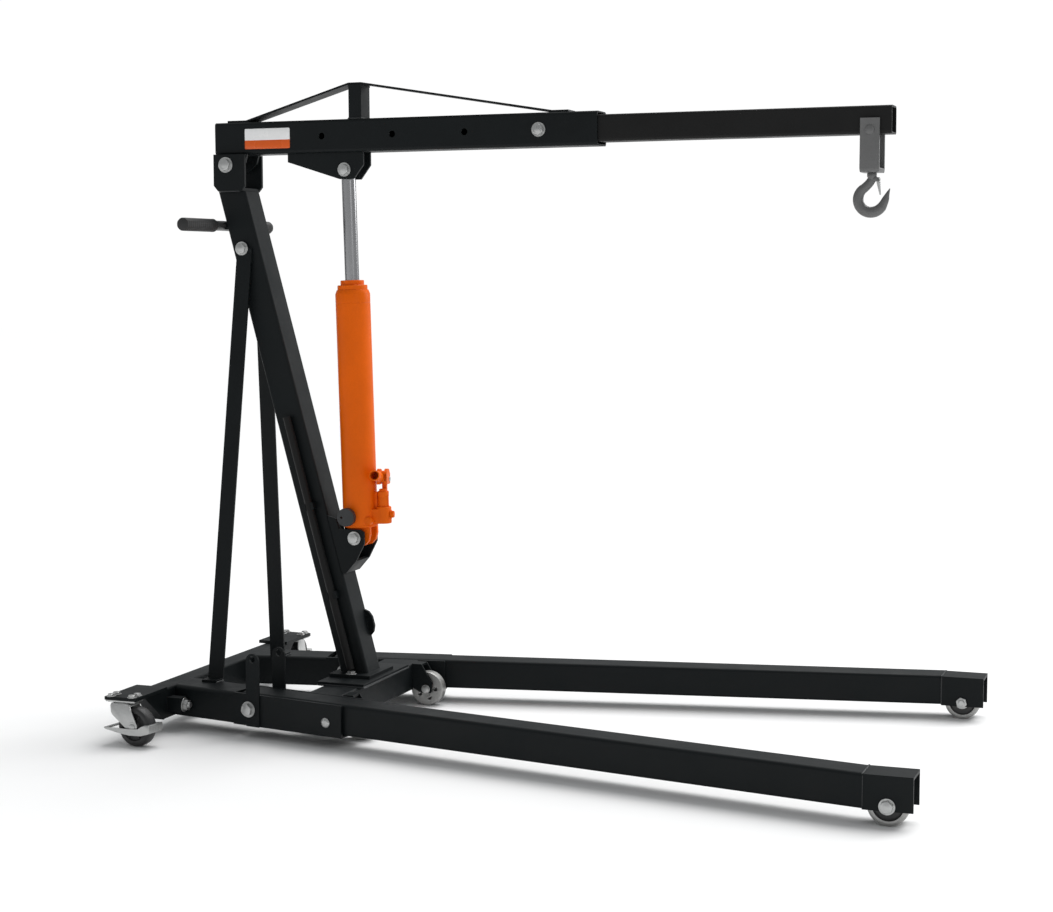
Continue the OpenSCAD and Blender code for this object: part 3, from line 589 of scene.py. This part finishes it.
def build_light():
    scene = bpy.context.scene
    scene.view_settings.view_transform = "Standard"
    world = bpy.data.worlds.new("studio")
    scene.world = world
    world.use_nodes = True
    nt = world.node_tree
    nt.nodes.clear()
    out = nt.nodes.new("ShaderNodeOutputWorld")
    path = nt.nodes.new("ShaderNodeLightPath")
    seen = nt.nodes.new("ShaderNodeBackground")
    seen.inputs["Color"].default_value = (1, 1, 1, 1)
    seen.inputs["Strength"].default_value = BACKDROP
    lit = nt.nodes.new("ShaderNodeBackground")
    lit.inputs["Color"].default_value = SKY_COLOR
    lit.inputs["Strength"].default_value = SKY_POWER
    mx = nt.nodes.new("ShaderNodeMixShader")
    nt.links.new(path.outputs["Is Camera Ray"], mx.inputs[0])
    nt.links.new(lit.outputs[0], mx.inputs[1])
    nt.links.new(seen.outputs[0], mx.inputs[2])
    nt.links.new(mx.outputs[0], out.inputs[0])

    sun = bpy.data.lights.new("sky", "SUN")
    sun.energy, sun.angle = SUN_POWER, math.radians(SUN_WIDTH)
    so = bpy.data.objects.new("sky", sun)
    scene.collection.objects.link(so)
    so.rotation_euler = Vector(SUN_AIM).to_track_quat("-Z", "Y").to_euler()
    for name, at, target, side, watts in AREA_LIGHTS:
        li = bpy.data.lights.new(name, "AREA")
        li.shape = "RECTANGLE"
        li.size = li.size_y = side
        li.energy = watts
        lo = bpy.data.objects.new(name, li)
        scene.collection.objects.link(lo)
        lo.location = at
        lo.rotation_euler = (Vector(target) - Vector(at)).to_track_quat("-Z", "Y").to_euler()


build_camera()
build_floor()
build_light()

# ---------------------------------------------------------------- fasteners in place

def fastener(node_name, build, sharp=28):
    """Zinc piece that takes the place of a CAD node of bolts or pins."""
    make(node_name + "_detail", build, "zinc", BODY_OF[node_name], replaces=node_name,
         sharp=sharp)


def bolts_from(node_name, m, head_at_low=True, turn=0.0):
    """Through bolts along Y, one for each solid of the node."""
    def build(bm):
        for box in islands(node_name):
            through_bolt(bm, box, Y, m, head_at_low, turn)
    fastener(node_name, build)


def down_screws(node_name, m):
    """Hexagon screws with their heads up, and nuts under the caster plates."""
    def build(bm):
        for lo, hi in islands(node_name):
            mid = (lo + hi) / 2
            head = m * SCREW_HEAD
            top = Vector((mid.x, mid.y, hi.z - head))
            up = Matrix.Rotation(random.uniform(0, 1), 3, Z) @ X
            bolt_head(bm, FLATS[m], head, place(top, Z, up))
            length = top.z - lo.z
            turned(bm, [(0, 0), (m / 2, 0), (m / 2, length - 0.001), (m * 0.4, length), (0, length)],
                   place(top, -Z, up), n=28)
            if node_name == "caster_bolts":
                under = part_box("caster_plates")[0].z
                add_part(bm, lambda b: hex_body(b, FLATS[m] * 0.98, 0, min(head, under - lo.z),
                                                bottom=True), place((mid.x, mid.y, under), -Z, up))
    fastener(node_name, build)


def build_fasteners():
    bolts_from("head_bolt", M18, turn=0.2)
    bolts_from("center_axles", M10)
    for s, side in SIDES:
        bolts_from("front_axle_" + side, M16, head_at_low=s < 0, turn=0.3)

    def frame_bolts(bm):
        for box in islands("frame_bolts"):
            size = box[1] - box[0]
            through_bolt(bm, box, X if size.x > size.y else Y, M16, turn=0.25)
    fastener("frame_bolts", frame_bolts)

    def boom_bolts(bm):
        for lo, hi in islands("boom_bolts"):
            mid = (lo + hi) / 2
            sign = -1 if mid.y < 0 else 1
            outer, inner = (lo.y, hi.y) if sign < 0 else (hi.y, lo.y)
            face = Vector((mid.x, outer - sign * M16 * HEAD, mid.z))
            up = Matrix.Rotation(0.4, 3, Y) @ Z
            bolt_head(bm, FLATS[M16], M16 * HEAD, place(face, Y * sign, up))
            length = abs(face.y - inner)
            turned(bm, [(0, 0), (M16 / 2, 0), (M16 / 2, length - 0.0008), (0.0072, length),
                        (0, length)], place(face, Y * -sign, up), n=32)
    fastener("boom_bolts", boom_bolts)
    down_screws("mast_bolts", M12)
    down_screws("caster_bolts", M10)


build_fasteners()

# ---------------------------------------------------------------- shared frames

SPLAY_X = {side: Vector((-JOINTS["leg_fold_" + side]["axis"][1], JOINTS["leg_fold_" + side]["axis"][0],
                         0)).normalized() for _, side in SIDES}
YOKE = joint_pos("hook_swing")


def basis(origin, x, y, z):
    """Matrix from three axes and an origin."""
    return Matrix.Translation(Vector(origin)) @ Matrix((x, y, z)).transposed().to_4x4()


def caster_frame(side):
    """Origin on the floor under the kingpin, x along the trail."""
    k, w = joint_pos("caster_swivel_" + side), joint_pos("caster_wheel_" + side)
    d = Vector((w.x - k.x, w.y - k.y, 0)).normalized()
    return basis((k.x, k.y, 0), d, Z.cross(d), Z)


def ram_frame():
    u = joint_axis("ram_extend")
    return basis(joint_pos("ram_tilt"), Y.cross(u), Y, u)


BARREL_R, PUMP_X = 0.043, 0.064
PUMP_TURN = math.radians(-80)


def pump_frame():
    return ram_frame() @ Matrix.Translation((PUMP_X, 0, 0)) @ Matrix.Rotation(PUMP_TURN, 4, "Z")


TURN_OVER = Matrix.Rotation(math.pi, 4, "X")


def along_y(x, z):
    """Local frame with its Z along +Y through (x, z)."""
    return Matrix.Translation((x, 0, z)) @ frame_of(Y, X)


def upright(y=0.0):
    """Plate frame: outlines in X and Z, thickness along -Y."""
    return Matrix.Translation((0, y, 0)) @ Matrix.Rotation(math.radians(90), 4, "X")


def mirrored(profile):
    """Profile (r, z) for z <= 0 continued to its mirror image and closed."""
    return profile + [(r, -z) for r, z in profile[::-1]] + [profile[0]]


def tint(bm, test, index):
    """Gives a material index to the faces whose middle passes the test."""
    for f in bm.faces:
        if test(f.calc_center_median()):
            f.material_index = index


# ---------------------------------------------------------------- wheels and casters

CASTER_R, TRAIL = 0.0475, 0.038
FORK_SHEET, PEDAL_SHEET = 0.0025, 0.0022


def build_casters():
    for _, side in SIDES:
        m = caster_frame(side)
        axle = m @ along_y(TRAIL, CASTER_R)

        def wheel(bm):
            prof = mirrored([(0.0062, -0.018), (0.0112, -0.018), (0.0124, -0.0172), (0.0128, -0.0135),
                             (0.0150, -0.0115), (0.0290, -0.0108), (0.0315, -0.0120), (0.0330, -0.0152),
                             (0.0370, -0.0160), (0.0415, -0.0156), (0.0448, -0.0136), (0.0466, -0.0100),
                             (0.0474, -0.0045)])
            lathe(bm, prof, n=72)
            for k in range(6):
                rib = Matrix.Rotation(math.radians(60 * k), 4, "Z")
                for t in (-1, 1):
                    plate(bm, [(0.012, -0.0014), (0.031, -0.0014), (0.031, 0.0014), (0.012, 0.0014)],
                          min(t * 0.0105, t * 0.0142), max(t * 0.0105, t * 0.0142), 0.0005, at=rib)
        make("caster_wheel_%s_detail" % side, wheel, "caster_plastic", "caster_wheel_" + side, axle,
             replaces="caster_wheel_" + side, sharp=30)

        def fork(bm):
            outline = rounded_outline([(-0.026, 0.0985), (0.030, 0.0985), (0.0525, 0.052),
                                       (0.052, 0.0365), (0.030, 0.0355), (-0.024, 0.076)],
                                      [0.003, 0.004, 0.010, 0.009, 0.010, 0.010])
            for t in (-1, 1):
                plate(bm, outline, 0, FORK_SHEET, 0.0008, at=upright(t * 0.01975 + FORK_SHEET / 2))
                # pressed boss around the axle and its riveted head
                seat = along_y(TRAIL, CASTER_R) @ Matrix.Translation((0, 0, t * 0.0208))
                if t < 0:
                    seat = seat @ TURN_OVER
                turned(bm, [(0.0135, 0), (0.0125, 0.0007), (0.0098, 0.0008), (0.0090, 0.0008),
                            (0.0088, 0.0020), (0.0062, 0.0030), (0, 0.0032)], seat, n=36)
            plate(bm, rounded_outline([(-0.027, -0.0205), (0.031, -0.0205), (0.031, 0.0205),
                                       (-0.027, 0.0205)], 0.006), 0.0968, 0.1000, 0.0009)
            turned(bm, [(0, 0.0995), (0.0262, 0.0995), (0.0272, 0.1006), (0.0262, 0.1024),
                        (0.0236, 0.1032), (0.0215, 0.1040), (0, 0.1040)], n=56)
            turned(bm, [(0, 0.0930), (0.0050, 0.0935), (0.0072, 0.0955), (0.0075, 0.0972), (0, 0.0972)],
                   n=32)
            rod(bm, 0.0058, -0.0206, 0.0206, along_y(TRAIL, CASTER_R))
        make("caster_fork_%s_detail" % side, fork, "zinc", "caster_" + side, m,
             replaces="caster_fork_" + side, sharp=30)

        def pedal(bm):
            arm = rounded_outline([(-0.040, 0.0425), (-0.040, 0.0385), (0.006, 0.0315), (0.034, 0.0292),
                                   (0.066, 0.0308), (0.0915, 0.0380), (0.0915, 0.0572), (0.072, 0.0545),
                                   (0.058, 0.0465), (0.030, 0.0440), (0.004, 0.0440)], 0.005)
            for t in (-1, 1):
                plate(bm, arm, 0, PEDAL_SHEET, 0.0007, at=upright(t * 0.0258 + PEDAL_SHEET / 2))
            tread = [(0.074, 0.0560), (0.0912, 0.0580), (0.0920, 0.0560), (0.0920, 0.0385),
                     (0.0900, 0.0385), (0.0898, 0.0555), (0.074, 0.0535)]
            plate(bm, tread, -0.0255, 0.0255, 0.0005, at=upright(0))
            for k in range(4):
                plate(bm, [(0.0915, 0.040), (0.0925, 0.041), (0.0925, 0.053), (0.0915, 0.054)], -0.001,
                      0.001, at=upright(-0.015 + 0.010 * k))
            toe = rounded_outline([(-0.0415, 0.0392), (-0.0335, 0.0382), (-0.0335, 0.0418),
                                   (-0.0415, 0.0430)], 0.0012)
            plate(bm, toe, -0.0265, 0.0265, 0.0004, at=upright(0))
        make("brake_pedal_%s_detail" % side, pedal, "zinc", "pedal_" + side, m,
             replaces="brake_pedal_" + side, sharp=30)


def build_front_wheels():
    for _, side in SIDES:
        c = joint_pos("front_wheel_" + side)

        def wheel(bm):
            lathe(bm, mirrored([(0.00805, -0.031), (0.0128, -0.031), (0.0140, -0.0298),
                                (0.0142, -0.0262), (0.0165, -0.0245), (0.0290, -0.0235),
                                (0.0318, -0.0250), (0.0330, -0.0285), (0.0360, -0.0290),
                                (0.0395, -0.0289), (0.0425, -0.0276), (0.0438, -0.0250),
                                (0.0440, -0.0205)]), n=96)
            tint(bm, lambda p: math.hypot(p.x, p.y) > 0.0325, 1)
        make("front_wheel_%s_detail" % side, wheel, ["wheel_dark", "wheel_iron"], "front_wheel_" + side,
             place(c, Y, X), replaces="front_wheel_" + side, sharp=30)


# ---------------------------------------------------------------- hook group

BOWL_RISE, BOWL_R = 0.042, 0.0295


def build_hook():
    # middle of the bowl, up from the lowest point of the hook
    hook_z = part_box("hook")[0].z + BOWL_RISE
    bowl = Vector((YOKE.x - 0.001, 0, hook_z))

    def hook(bm):
        pts = [(0.001, 0.0500), (0.0, 0.0430), (-0.0050, 0.0352)]
        pts += [(BOWL_R * math.cos(math.radians(a)),
                 BOWL_R * math.sin(math.radians(a))) for a in range(120, 343, 14)]
        pts += [(0.0318, -0.0020), (0.0362, 0.0100), (0.0418, 0.0232)]
        path = spline([(x, 0, z) for x, z in pts], 4)
        grow = [(0.0, 0.0092), (0.10, 0.0100), (0.30, 0.0119), (0.55, 0.0125), (0.72, 0.0123),
                (0.84, 0.0112), (0.92, 0.0076), (1.0, 0.0009)]

        def section(i, t):
            a = path[max(i - 1, 0)]
            b = path[min(i + 1, len(path) - 1)]
            side = (b - a).normalized().cross(Y)
            for (t0, r0), (t1, r1) in zip(grow, grow[1:]):
                if t <= t1:
                    r = r0 + (r1 - r0) * (t - t0) / (t1 - t0)
                    break
            return r, r * 0.88, side, Y
        add_part(bm, lambda b: sweep(b, path, section, n=28), Matrix.Translation(bowl))
        base = Matrix.Translation((YOKE.x, 0, hook_z))
        turned(bm, [(0, 0.044), (0.0086, 0.045), (0.0094, 0.0482), (0.0106, 0.0495), (0.0110, 0.0510),
                    (0.0110, 0.0565), (0.0104, 0.0582), (0, 0.0583)], base, n=48)
        thread = [(0, 0.0575), (0.0079, 0.0575)]
        z = 0.082
        thread.append((0.0079, z))
        while z < 0.0855:
            thread += [(0.0074, z + 0.0007), (0.0079, z + 0.0014)]
            z += 0.0014
        thread += [(0.0068, 0.0868), (0, 0.0868)]
        turned(bm, thread, base, n=32)
        add_part(bm, lambda b: hex_body(b, 0.0242, 0.0697, 0.0823), base)
        for s in (-1, 1):
            ear = rounded_outline([(0.003, 0.0395), (0.0165, 0.0392), (0.0188, 0.0430),
                                   (0.0165, 0.0485), (0.003, 0.0488)], 0.003)
            plate(bm, ear, 0, 0.0025, 0.0004, at=base @ upright(s * 0.00675 + 0.00125))
        pin = joint_pos("hook_latch")
        turned(bm, [(0, -0.0080), (0.0015, -0.0080), (0.0020, -0.0074), (0.0020, 0.0074),
                    (0.0015, 0.0080), (0, 0.0080)], place(pin, Y, X), n=20)
    make("hook_detail", hook, "hook_finish", "hook", replaces="hook", sharp=34)

    def latch(bm):
        pin = joint_pos("hook_latch")
        blade = rounded_outline([(-0.0034, 0.0038), (0.0034, 0.0038), (0.0036, -0.0080),
                                 (0.0054, -0.0338), (0.0032, -0.0340), (-0.0034, -0.0080)],
                                [0.003, 0.003, 0.004, 0.0008, 0.0008, 0.004])
        prism(bm, blade, -0.0049, 0.0049, 0.0010)
        bmesh.ops.transform(bm, matrix=Matrix.Translation(pin) @ upright(0), verts=bm.verts)
        for v in bm.verts:
            drop = pin.z - v.co.z
            if drop > 0.008:
                v.co.y *= 1 - 0.35 * min(1, (drop - 0.008) / 0.02)
    make("hook_latch_detail", latch, "zinc", "latch", replaces="hook_latch", sharp=34)

    lo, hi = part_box("hook_yoke")

    def yoke(bm):
        half, t = (hi.y - lo.y) / 2, 0.006
        h = hi.z - lo.z
        outer = rounded_outline([(-half, h), (-half, 0), (half, 0), (half, h)], [0, 0.009, 0.009, 0], 6)
        inner = rounded_outline([(half - t, h), (half - t, 0.0100), (-half + t, 0.0100),
                                 (-half + t, h)], [0, 0.003, 0.003, 0], 4)
        prism(bm, outer + inner, lo.x, hi.x, 0.0012)
    make("hook_yoke_detail", yoke, "hook_finish", "yoke", Matrix.Translation((0, 0, lo.z)) @ frame_of(X,
            Y), replaces="hook_yoke", sharp=30)

    plo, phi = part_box("yoke_pin")

    def pin(bm):
        half = (phi.y - plo.y) / 2
        lathe(bm, [(0, -half), (0.0070, -half + 0.0006), (0.0102, -half + 0.0022),
                   (0.0110, -half + 0.0038), (0.0070, -half + 0.0039), (0.0070, half - 0.0039),
                   (0.0110, half - 0.0038), (0.0102, half - 0.0022), (0.0070, half - 0.0006),
                   (0, half)], n=40)
    make("yoke_pin_detail", pin, "hook_finish", "yoke", place((plo + phi) / 2, Y, X),
         replaces="yoke_pin")


# ---------------------------------------------------------------- ram and pump

def build_ram():
    m = ram_frame()

    def cylinder(bm):
        r = BARREL_R
        prof = [(0, 0.0255), (0.0405, 0.0255), (0.0424, 0.0265), (r, 0.0285), (r, 0.0300),
                (0.0424, 0.0306), (r, 0.0312), (r, 0.5800), (0.0426, 0.5806), (0.0426, 0.5815),
                (r, 0.5821), (r, 0.6030), (0.0424, 0.6048), (0.0396, 0.6120), (0.0388, 0.6132),
                (0.0370, 0.6136), (0.0370, 0.6236), (0.0360, 0.6248), (0.0298, 0.6250),
                (0.0290, 0.6258), (0.0290, 0.6352), (0.0280, 0.6366), (0.0200, 0.6370),
                (0.0178, 0.6362), (0.0177, 0.6150), (0, 0.6150)]
        lathe(bm, prof, n=120)
        lug = rounded_outline([(-0.026, 0.030), (0.036, 0.030), (0.036, 0.008), (0.032, -0.008),
                               (0.020, -0.020), (0, -0.025), (-0.018, -0.018), (-0.026, -0.004)],
                              [0, 0, 0.008, 0.01, 0.01, 0.01, 0.01, 0.008])
        for s in (-1, 1):
            plate(bm, lug, 0, 0.010, 0.0012, at=upright(s * 0.021 + 0.005))
        plate(bm, rounded_outline([(0.040, -0.005), (PUMP_X - 0.0145, -0.005), (PUMP_X - 0.0145, 0.005),
                                   (0.040, 0.005)], 0.001), 0.069, 0.112, 0.001)
        foot = rounded_outline([(0.020, -0.018), (PUMP_X, -0.018), (PUMP_X, 0.018), (0.020, 0.018)],
                               0.003)
        plate(bm, foot, 0.034, 0.070, 0.002)
        turned(bm, [(0, 0.0340), (0.0172, 0.0340), (0.0190, 0.0358), (0.0190, 0.0735), (0.0176, 0.0755),
                    (0, 0.0758)], Matrix.Translation((PUMP_X, 0, 0)), n=64)
        turned(bm, [(0, -0.034), (0.0080, -0.034), (0.0106, -0.0318), (0.0110, -0.0290),
                    (0.0110, -0.010), (0, -0.010)], along_y(0.034, 0.042), n=40)
        bolt = m.inverted() @ pump_frame() @ place((0.0, 0.0182, 0.056), Y, Z)
        bolt_head(bm, FLATS[M10], 0.008, bolt)
    make("ram_cylinder_detail", cylinder, "orange_paint", "ram", m, replaces="ram_cylinder",
         sharp=32)

    p = pump_frame()

    def pump_barrel(bm):
        prof = [(0, 0.0760), (0.0140, 0.0760), (0.0140, 0.0790), (0.0132, 0.0800), (0.0132, 0.1010),
                (0.0140, 0.1022), (0.0140, 0.1128), (0.0132, 0.1140), (0.0102, 0.1140),
                (0.0101, 0.1080), (0, 0.1080)]
        lathe(bm, prof, n=56)
        rib = rounded_outline([(0.004, 0.0765), (0.0148, 0.0765), (0.0148, 0.106), (0.011, 0.112),
                               (0.004, 0.112)], 0.002)
        plate(bm, rib, -0.0022, 0.0022, 0.0006, at=Matrix.Rotation(1.2, 4, "Z") @ upright(0))
        post = rounded_outline([(-0.025, 0.076), (-0.011, 0.076), (-0.011, 0.1508), (-0.025, 0.1508)],
                               [0.001, 0.001, 0.0065, 0.0065])
        plate(bm, post, -0.005, 0.005, 0.0010, at=upright(0))
    make("pump_body_detail", pump_barrel, "orange_paint", "ram", p, replaces="pump_body")

    def plunger(bm):
        lathe(bm, [(0, 0.0920), (0.0100, 0.0920), (0.0100, 0.1180), (0.0088, 0.1196), (0, 0.1200)],
              n=48)
    make("pump_plunger_detail", plunger, "orange_paint", "plunger", p, replaces="pump_plunger")

    def socket(bm):
        cheek = rounded_outline([(-0.025, 0.131), (-0.025, 0.156), (-0.015, 0.168), (0.002, 0.170),
                                 (0.012, 0.160), (0.012, 0.131)], [0.004, 0.008, 0.008, 0.008, 0.008,
                0.003])
        for s in (-1, 1):
            plate(bm, cheek, 0, 0.007, 0.0012, at=upright(s * 0.0095 + 0.0035))
        web = rounded_outline([(0.005, 0.138), (0.012, 0.138), (0.012, 0.162), (0.005, 0.166)], 0.0015)
        plate(bm, web, -0.0125, 0.0125, 0.0008, at=upright(0))
        tube = Matrix.Translation((0.008, -0.008, 0.150)) @ Matrix.Rotation(math.radians(80), 4, "Y")
        prof = [(0, 0), (0.0133, 0), (0.0133, 0.0448), (0.0126, 0.0459), (0.0108, 0.0460),
                (0.0102, 0.0452), (0.0102, 0.0062), (0, 0.0060)]
        turned(bm, prof, tube, n=56)
    make("pump_socket_detail", socket, "orange_paint", "pump_lever", p, replaces="pump_socket")

    def pivot_pin(bm):
        at = along_y(-0.018, 0.142)
        rod(bm, 0.0040, -0.0145, 0.0145, at, n=28)
        for t in (-1, 1):
            seat = at @ Matrix.Translation((0, 0, t * 0.0131))
            if t < 0:
                seat = seat @ TURN_OVER
            turned(bm, [(0.0034, 0), (0.0064, 0), (0.0062, 0.0012), (0.0040, 0.0018), (0, 0.0019)],
                   seat, n=28)
    make("pump_pin_detail", pivot_pin, "zinc", "pump_lever", p, replaces="pump_pin")


# ---------------------------------------------------------------- grips, label, pins

# from the leg pivot to its bolt's seats and to the lock pin, and from the leg's middle to the pin's seats
EAR_FACE, LOCK_REACH, SOCKET_FACE = 0.054, 0.224, 0.0415


def build_trim():
    lo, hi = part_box("push_grips")
    mid = (lo + hi) / 2
    half = (hi.y - lo.y) / 2

    def flute(a, r, z):
        return 1 - 0.035 * max(0.0, math.cos(8 * a)) ** 6

    def grips(bm):
        for s in (-1, 1):
            prof = [(0.0127, 0.075), (0.0158, 0.075), (0.0165, 0.0765), (0.0165, 0.0795),
                    (0.0152, 0.0810)]
            for k in range(14):
                y = 0.083 + k * 0.0098
                prof += [(0.0150, y), (0.0163, y + 0.0018), (0.0163, y + 0.0058), (0.0150, y + 0.0078)]
            prof += [(0.0162, half - 0.0035), (0.0155, half - 0.0012), (0.0130, half), (0, half),
                     (0, half - 0.003), (0.0127, half - 0.003), (0.0127, 0.075)]
            turned(bm, prof, Matrix.Identity(4) if s > 0 else TURN_OVER, n=64, radius=flute)
    make("push_grips_detail", grips, "grip_rubber", "base", place(mid, Y, X), replaces="push_grips",
         sharp=40)

    lo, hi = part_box("boom_label")
    run = joint_axis("boom_extension")

    def label(bm):
        w, h, t, band = 0.0618, 0.025, 0.00075, 0.43
        split = -h + 2 * h * band
        plate(bm, rounded_outline([(-w, -h), (w, -h), (w, split), (-w, split)], [0.003, 0.003, 0, 0]),
              0, t, 0.0001)
        tint(bm, lambda p: True, 1)
        count = len(bm.faces)
        plate(bm, rounded_outline([(-w, split), (w, split), (w, h), (-w, h)], [0, 0, 0.003, 0.003]), 0,
              t, 0.0001)
        bm.faces.ensure_lookup_table()
        for f in bm.faces[count:]:
            f.material_index = 0
    face = Vector(((lo.x + hi.x) / 2, hi.y, (lo.z + hi.z) / 2))
    make("boom_label_detail", label, ["label_white", "label_orange"], "boom",
         basis(face, run, -Y.cross(run), -Y), replaces="boom_label")

    def pivot_bolts(bm):
        for s, side in SIDES:
            pos = joint_pos("leg_fold_" + side)
            across = Z.cross(SPLAY_X[side])
            reach = EAR_FACE
            up = Matrix.Rotation(0.3 * s, 3, across) @ Z
            bolt_head(bm, FLATS[M18], M18 * HEAD, place(pos - across * reach, -across, up))
            nut_end(bm, M18, place(pos + across * reach, across, up), tail=0.0052)
            rod(bm, 0.009, 0, 2 * reach, place(pos - across * reach, across, up), n=36)
    fastener("leg_pivot_bolts", pivot_bolts)

    zlo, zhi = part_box("leg_lock_pins")

    def lock_pins(bm):
        for s, side in SIDES:
            pos = joint_pos("leg_fold_" + side)
            at = Vector((pos.x, pos.y, (zlo.z + zhi.z) / 2)) + SPLAY_X[side] * LOCK_REACH
            for t in (-1, 1):
                out = Z.cross(SPLAY_X[side]) * t
                dome = [(0, 0), (0.0080, 0), (0.0080, 0.0075), (0.0120, 0.0076), (0.0118, 0.0092),
                        (0.0100, 0.0110), (0.0068, 0.0121), (0, 0.0125)]
                turned(bm, dome, place(at + out * SOCKET_FACE, out, Z), n=40)
    fastener("leg_lock_pins", lock_pins, sharp=34)


# ---------------------------------------------------------------- welds

WELD_FINE, WELD, WELD_WIDE = 0.0022, 0.0024, 0.0028     # bead radii
RIPPLE = 0.0035


def bead(points, radius, name, body):
    """Rippled weld bead laid along a broken line."""
    path = []
    for a, b in zip(points, points[1:]):
        a, b = Vector(a), Vector(b)
        n = max(2, int((b - a).length / RIPPLE))
        path += [a.lerp(b, k / n) for k in range(n)]
    path.append(Vector(points[-1]))

    def build(bm):
        def section(i, t):
            p, q = path[max(i - 1, 0)], path[min(i + 1, len(path) - 1)]
            d = (q - p).normalized()
            side = d.cross(Z if abs(d.z) < 0.9 else X).normalized()
            r = radius * (0.82 + 0.22 * (i % 2) + random.uniform(-0.06, 0.06))
            if i in (0, len(path) - 1):
                r *= 0.45
            return r, r, side, side.cross(d)
        sweep(bm, path, section, n=8)
    make(name, build, "weld", body, sharp=60)


def rect(lo, hi, z):
    """Closed line around a box at height z."""
    return [(lo.x, lo.y, z), (hi.x, lo.y, z), (hi.x, hi.y, z), (lo.x, hi.y, z), (lo.x, lo.y, z)]


def build_welds():
    """Beads where plates and tubes meet, from the CAD nodes' boxes."""
    lo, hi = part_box("mast_foot")
    bead(rect(lo, hi, lo.z + 0.0005), WELD_WIDE, "weld_mast_foot", "base")
    lo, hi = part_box("king_post")
    bead(rect(lo, hi, lo.z + 0.0012), WELD, "weld_king_post", "boom")
    lo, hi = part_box("truss_straps")
    for x, name in ((lo.x, "rear"), (hi.x, "front")):
        rise = (x - joint_pos("boom_lift").x) * joint_axis("boom_extension").z
        z = lo.z + rise + 0.0012
        bead([(x, lo.y + 0.003, z), (x, hi.y - 0.003, z)], WELD, "weld_strap_" + name, "boom")
    for s, side in SIDES:
        lo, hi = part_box("leg_fork_" + side)
        y0, y1 = lo.y + 0.001, hi.y - 0.001
        bead([(lo.x, y0, lo.z + 0.004), (lo.x, y0, hi.z), (lo.x, y1, hi.z), (lo.x, y1, lo.z + 0.004)],
             WELD_FINE, "weld_fork_" + side, "leg_" + side)
        lo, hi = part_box("brace_" + side)
        inner, outer = (lo.y, lo.y + 0.035) if s < 0 else (hi.y - 0.035, hi.y)
        bead([(lo.x, inner, lo.z + 0.0006), (lo.x, outer, lo.z + 0.0006),
              (lo.x + 0.040, outer, lo.z + 0.0006), (lo.x + 0.040, inner, lo.z + 0.0006)], WELD,
             "weld_brace_" + side, "base")
    lo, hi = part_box("head_bracket")
    bead([(lo.x + 0.014, lo.y + 0.001, lo.z), (hi.x - 0.014, lo.y + 0.001, lo.z)], WELD,
         "weld_head_right", "base")
    bead([(lo.x + 0.014, hi.y - 0.001, lo.z), (hi.x - 0.014, hi.y - 0.001, lo.z)], WELD,
         "weld_head_left", "base")


def build_knob_mark():
    """Small moulded pip on the release knob's face."""
    lo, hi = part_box("release_knob")
    c = joint_pos("release_turn")

    def pip(bm):
        lathe(bm, [(0, -0.0010), (0.0050, -0.0010), (0.0048, 0.0004), (0.0036, 0.0014), (0, 0.0017)],
              n=28)
    make("release_knob_pip", pip, "knob_plastic", "knob",
         place((c.x + 0.0145, lo.y + 0.0017, c.z - 0.003), -Y, X))


build_casters()
build_knob_mark()
build_front_wheels()
build_hook()
build_ram()
build_trim()
build_welds()

# ---------------------------------------------------------------- finishes for the CAD nodes

SLOT_MATERIAL = {"label_film": "label_white"}


def finish_cad():
    """Every CAD node still showing gets its procedural finish."""
    for name, ob in NODES.items():
        slot = SLOT_OF[name]
        mat = MAT[SLOT_MATERIAL.get(slot, slot)]
        if name == "push_bar":
            mat = MAT["bar_paint"]
        if not ob.material_slots:
            ob.data.materials.append(mat)
        for s in ob.material_slots:
            s.material = mat


finish_cad()
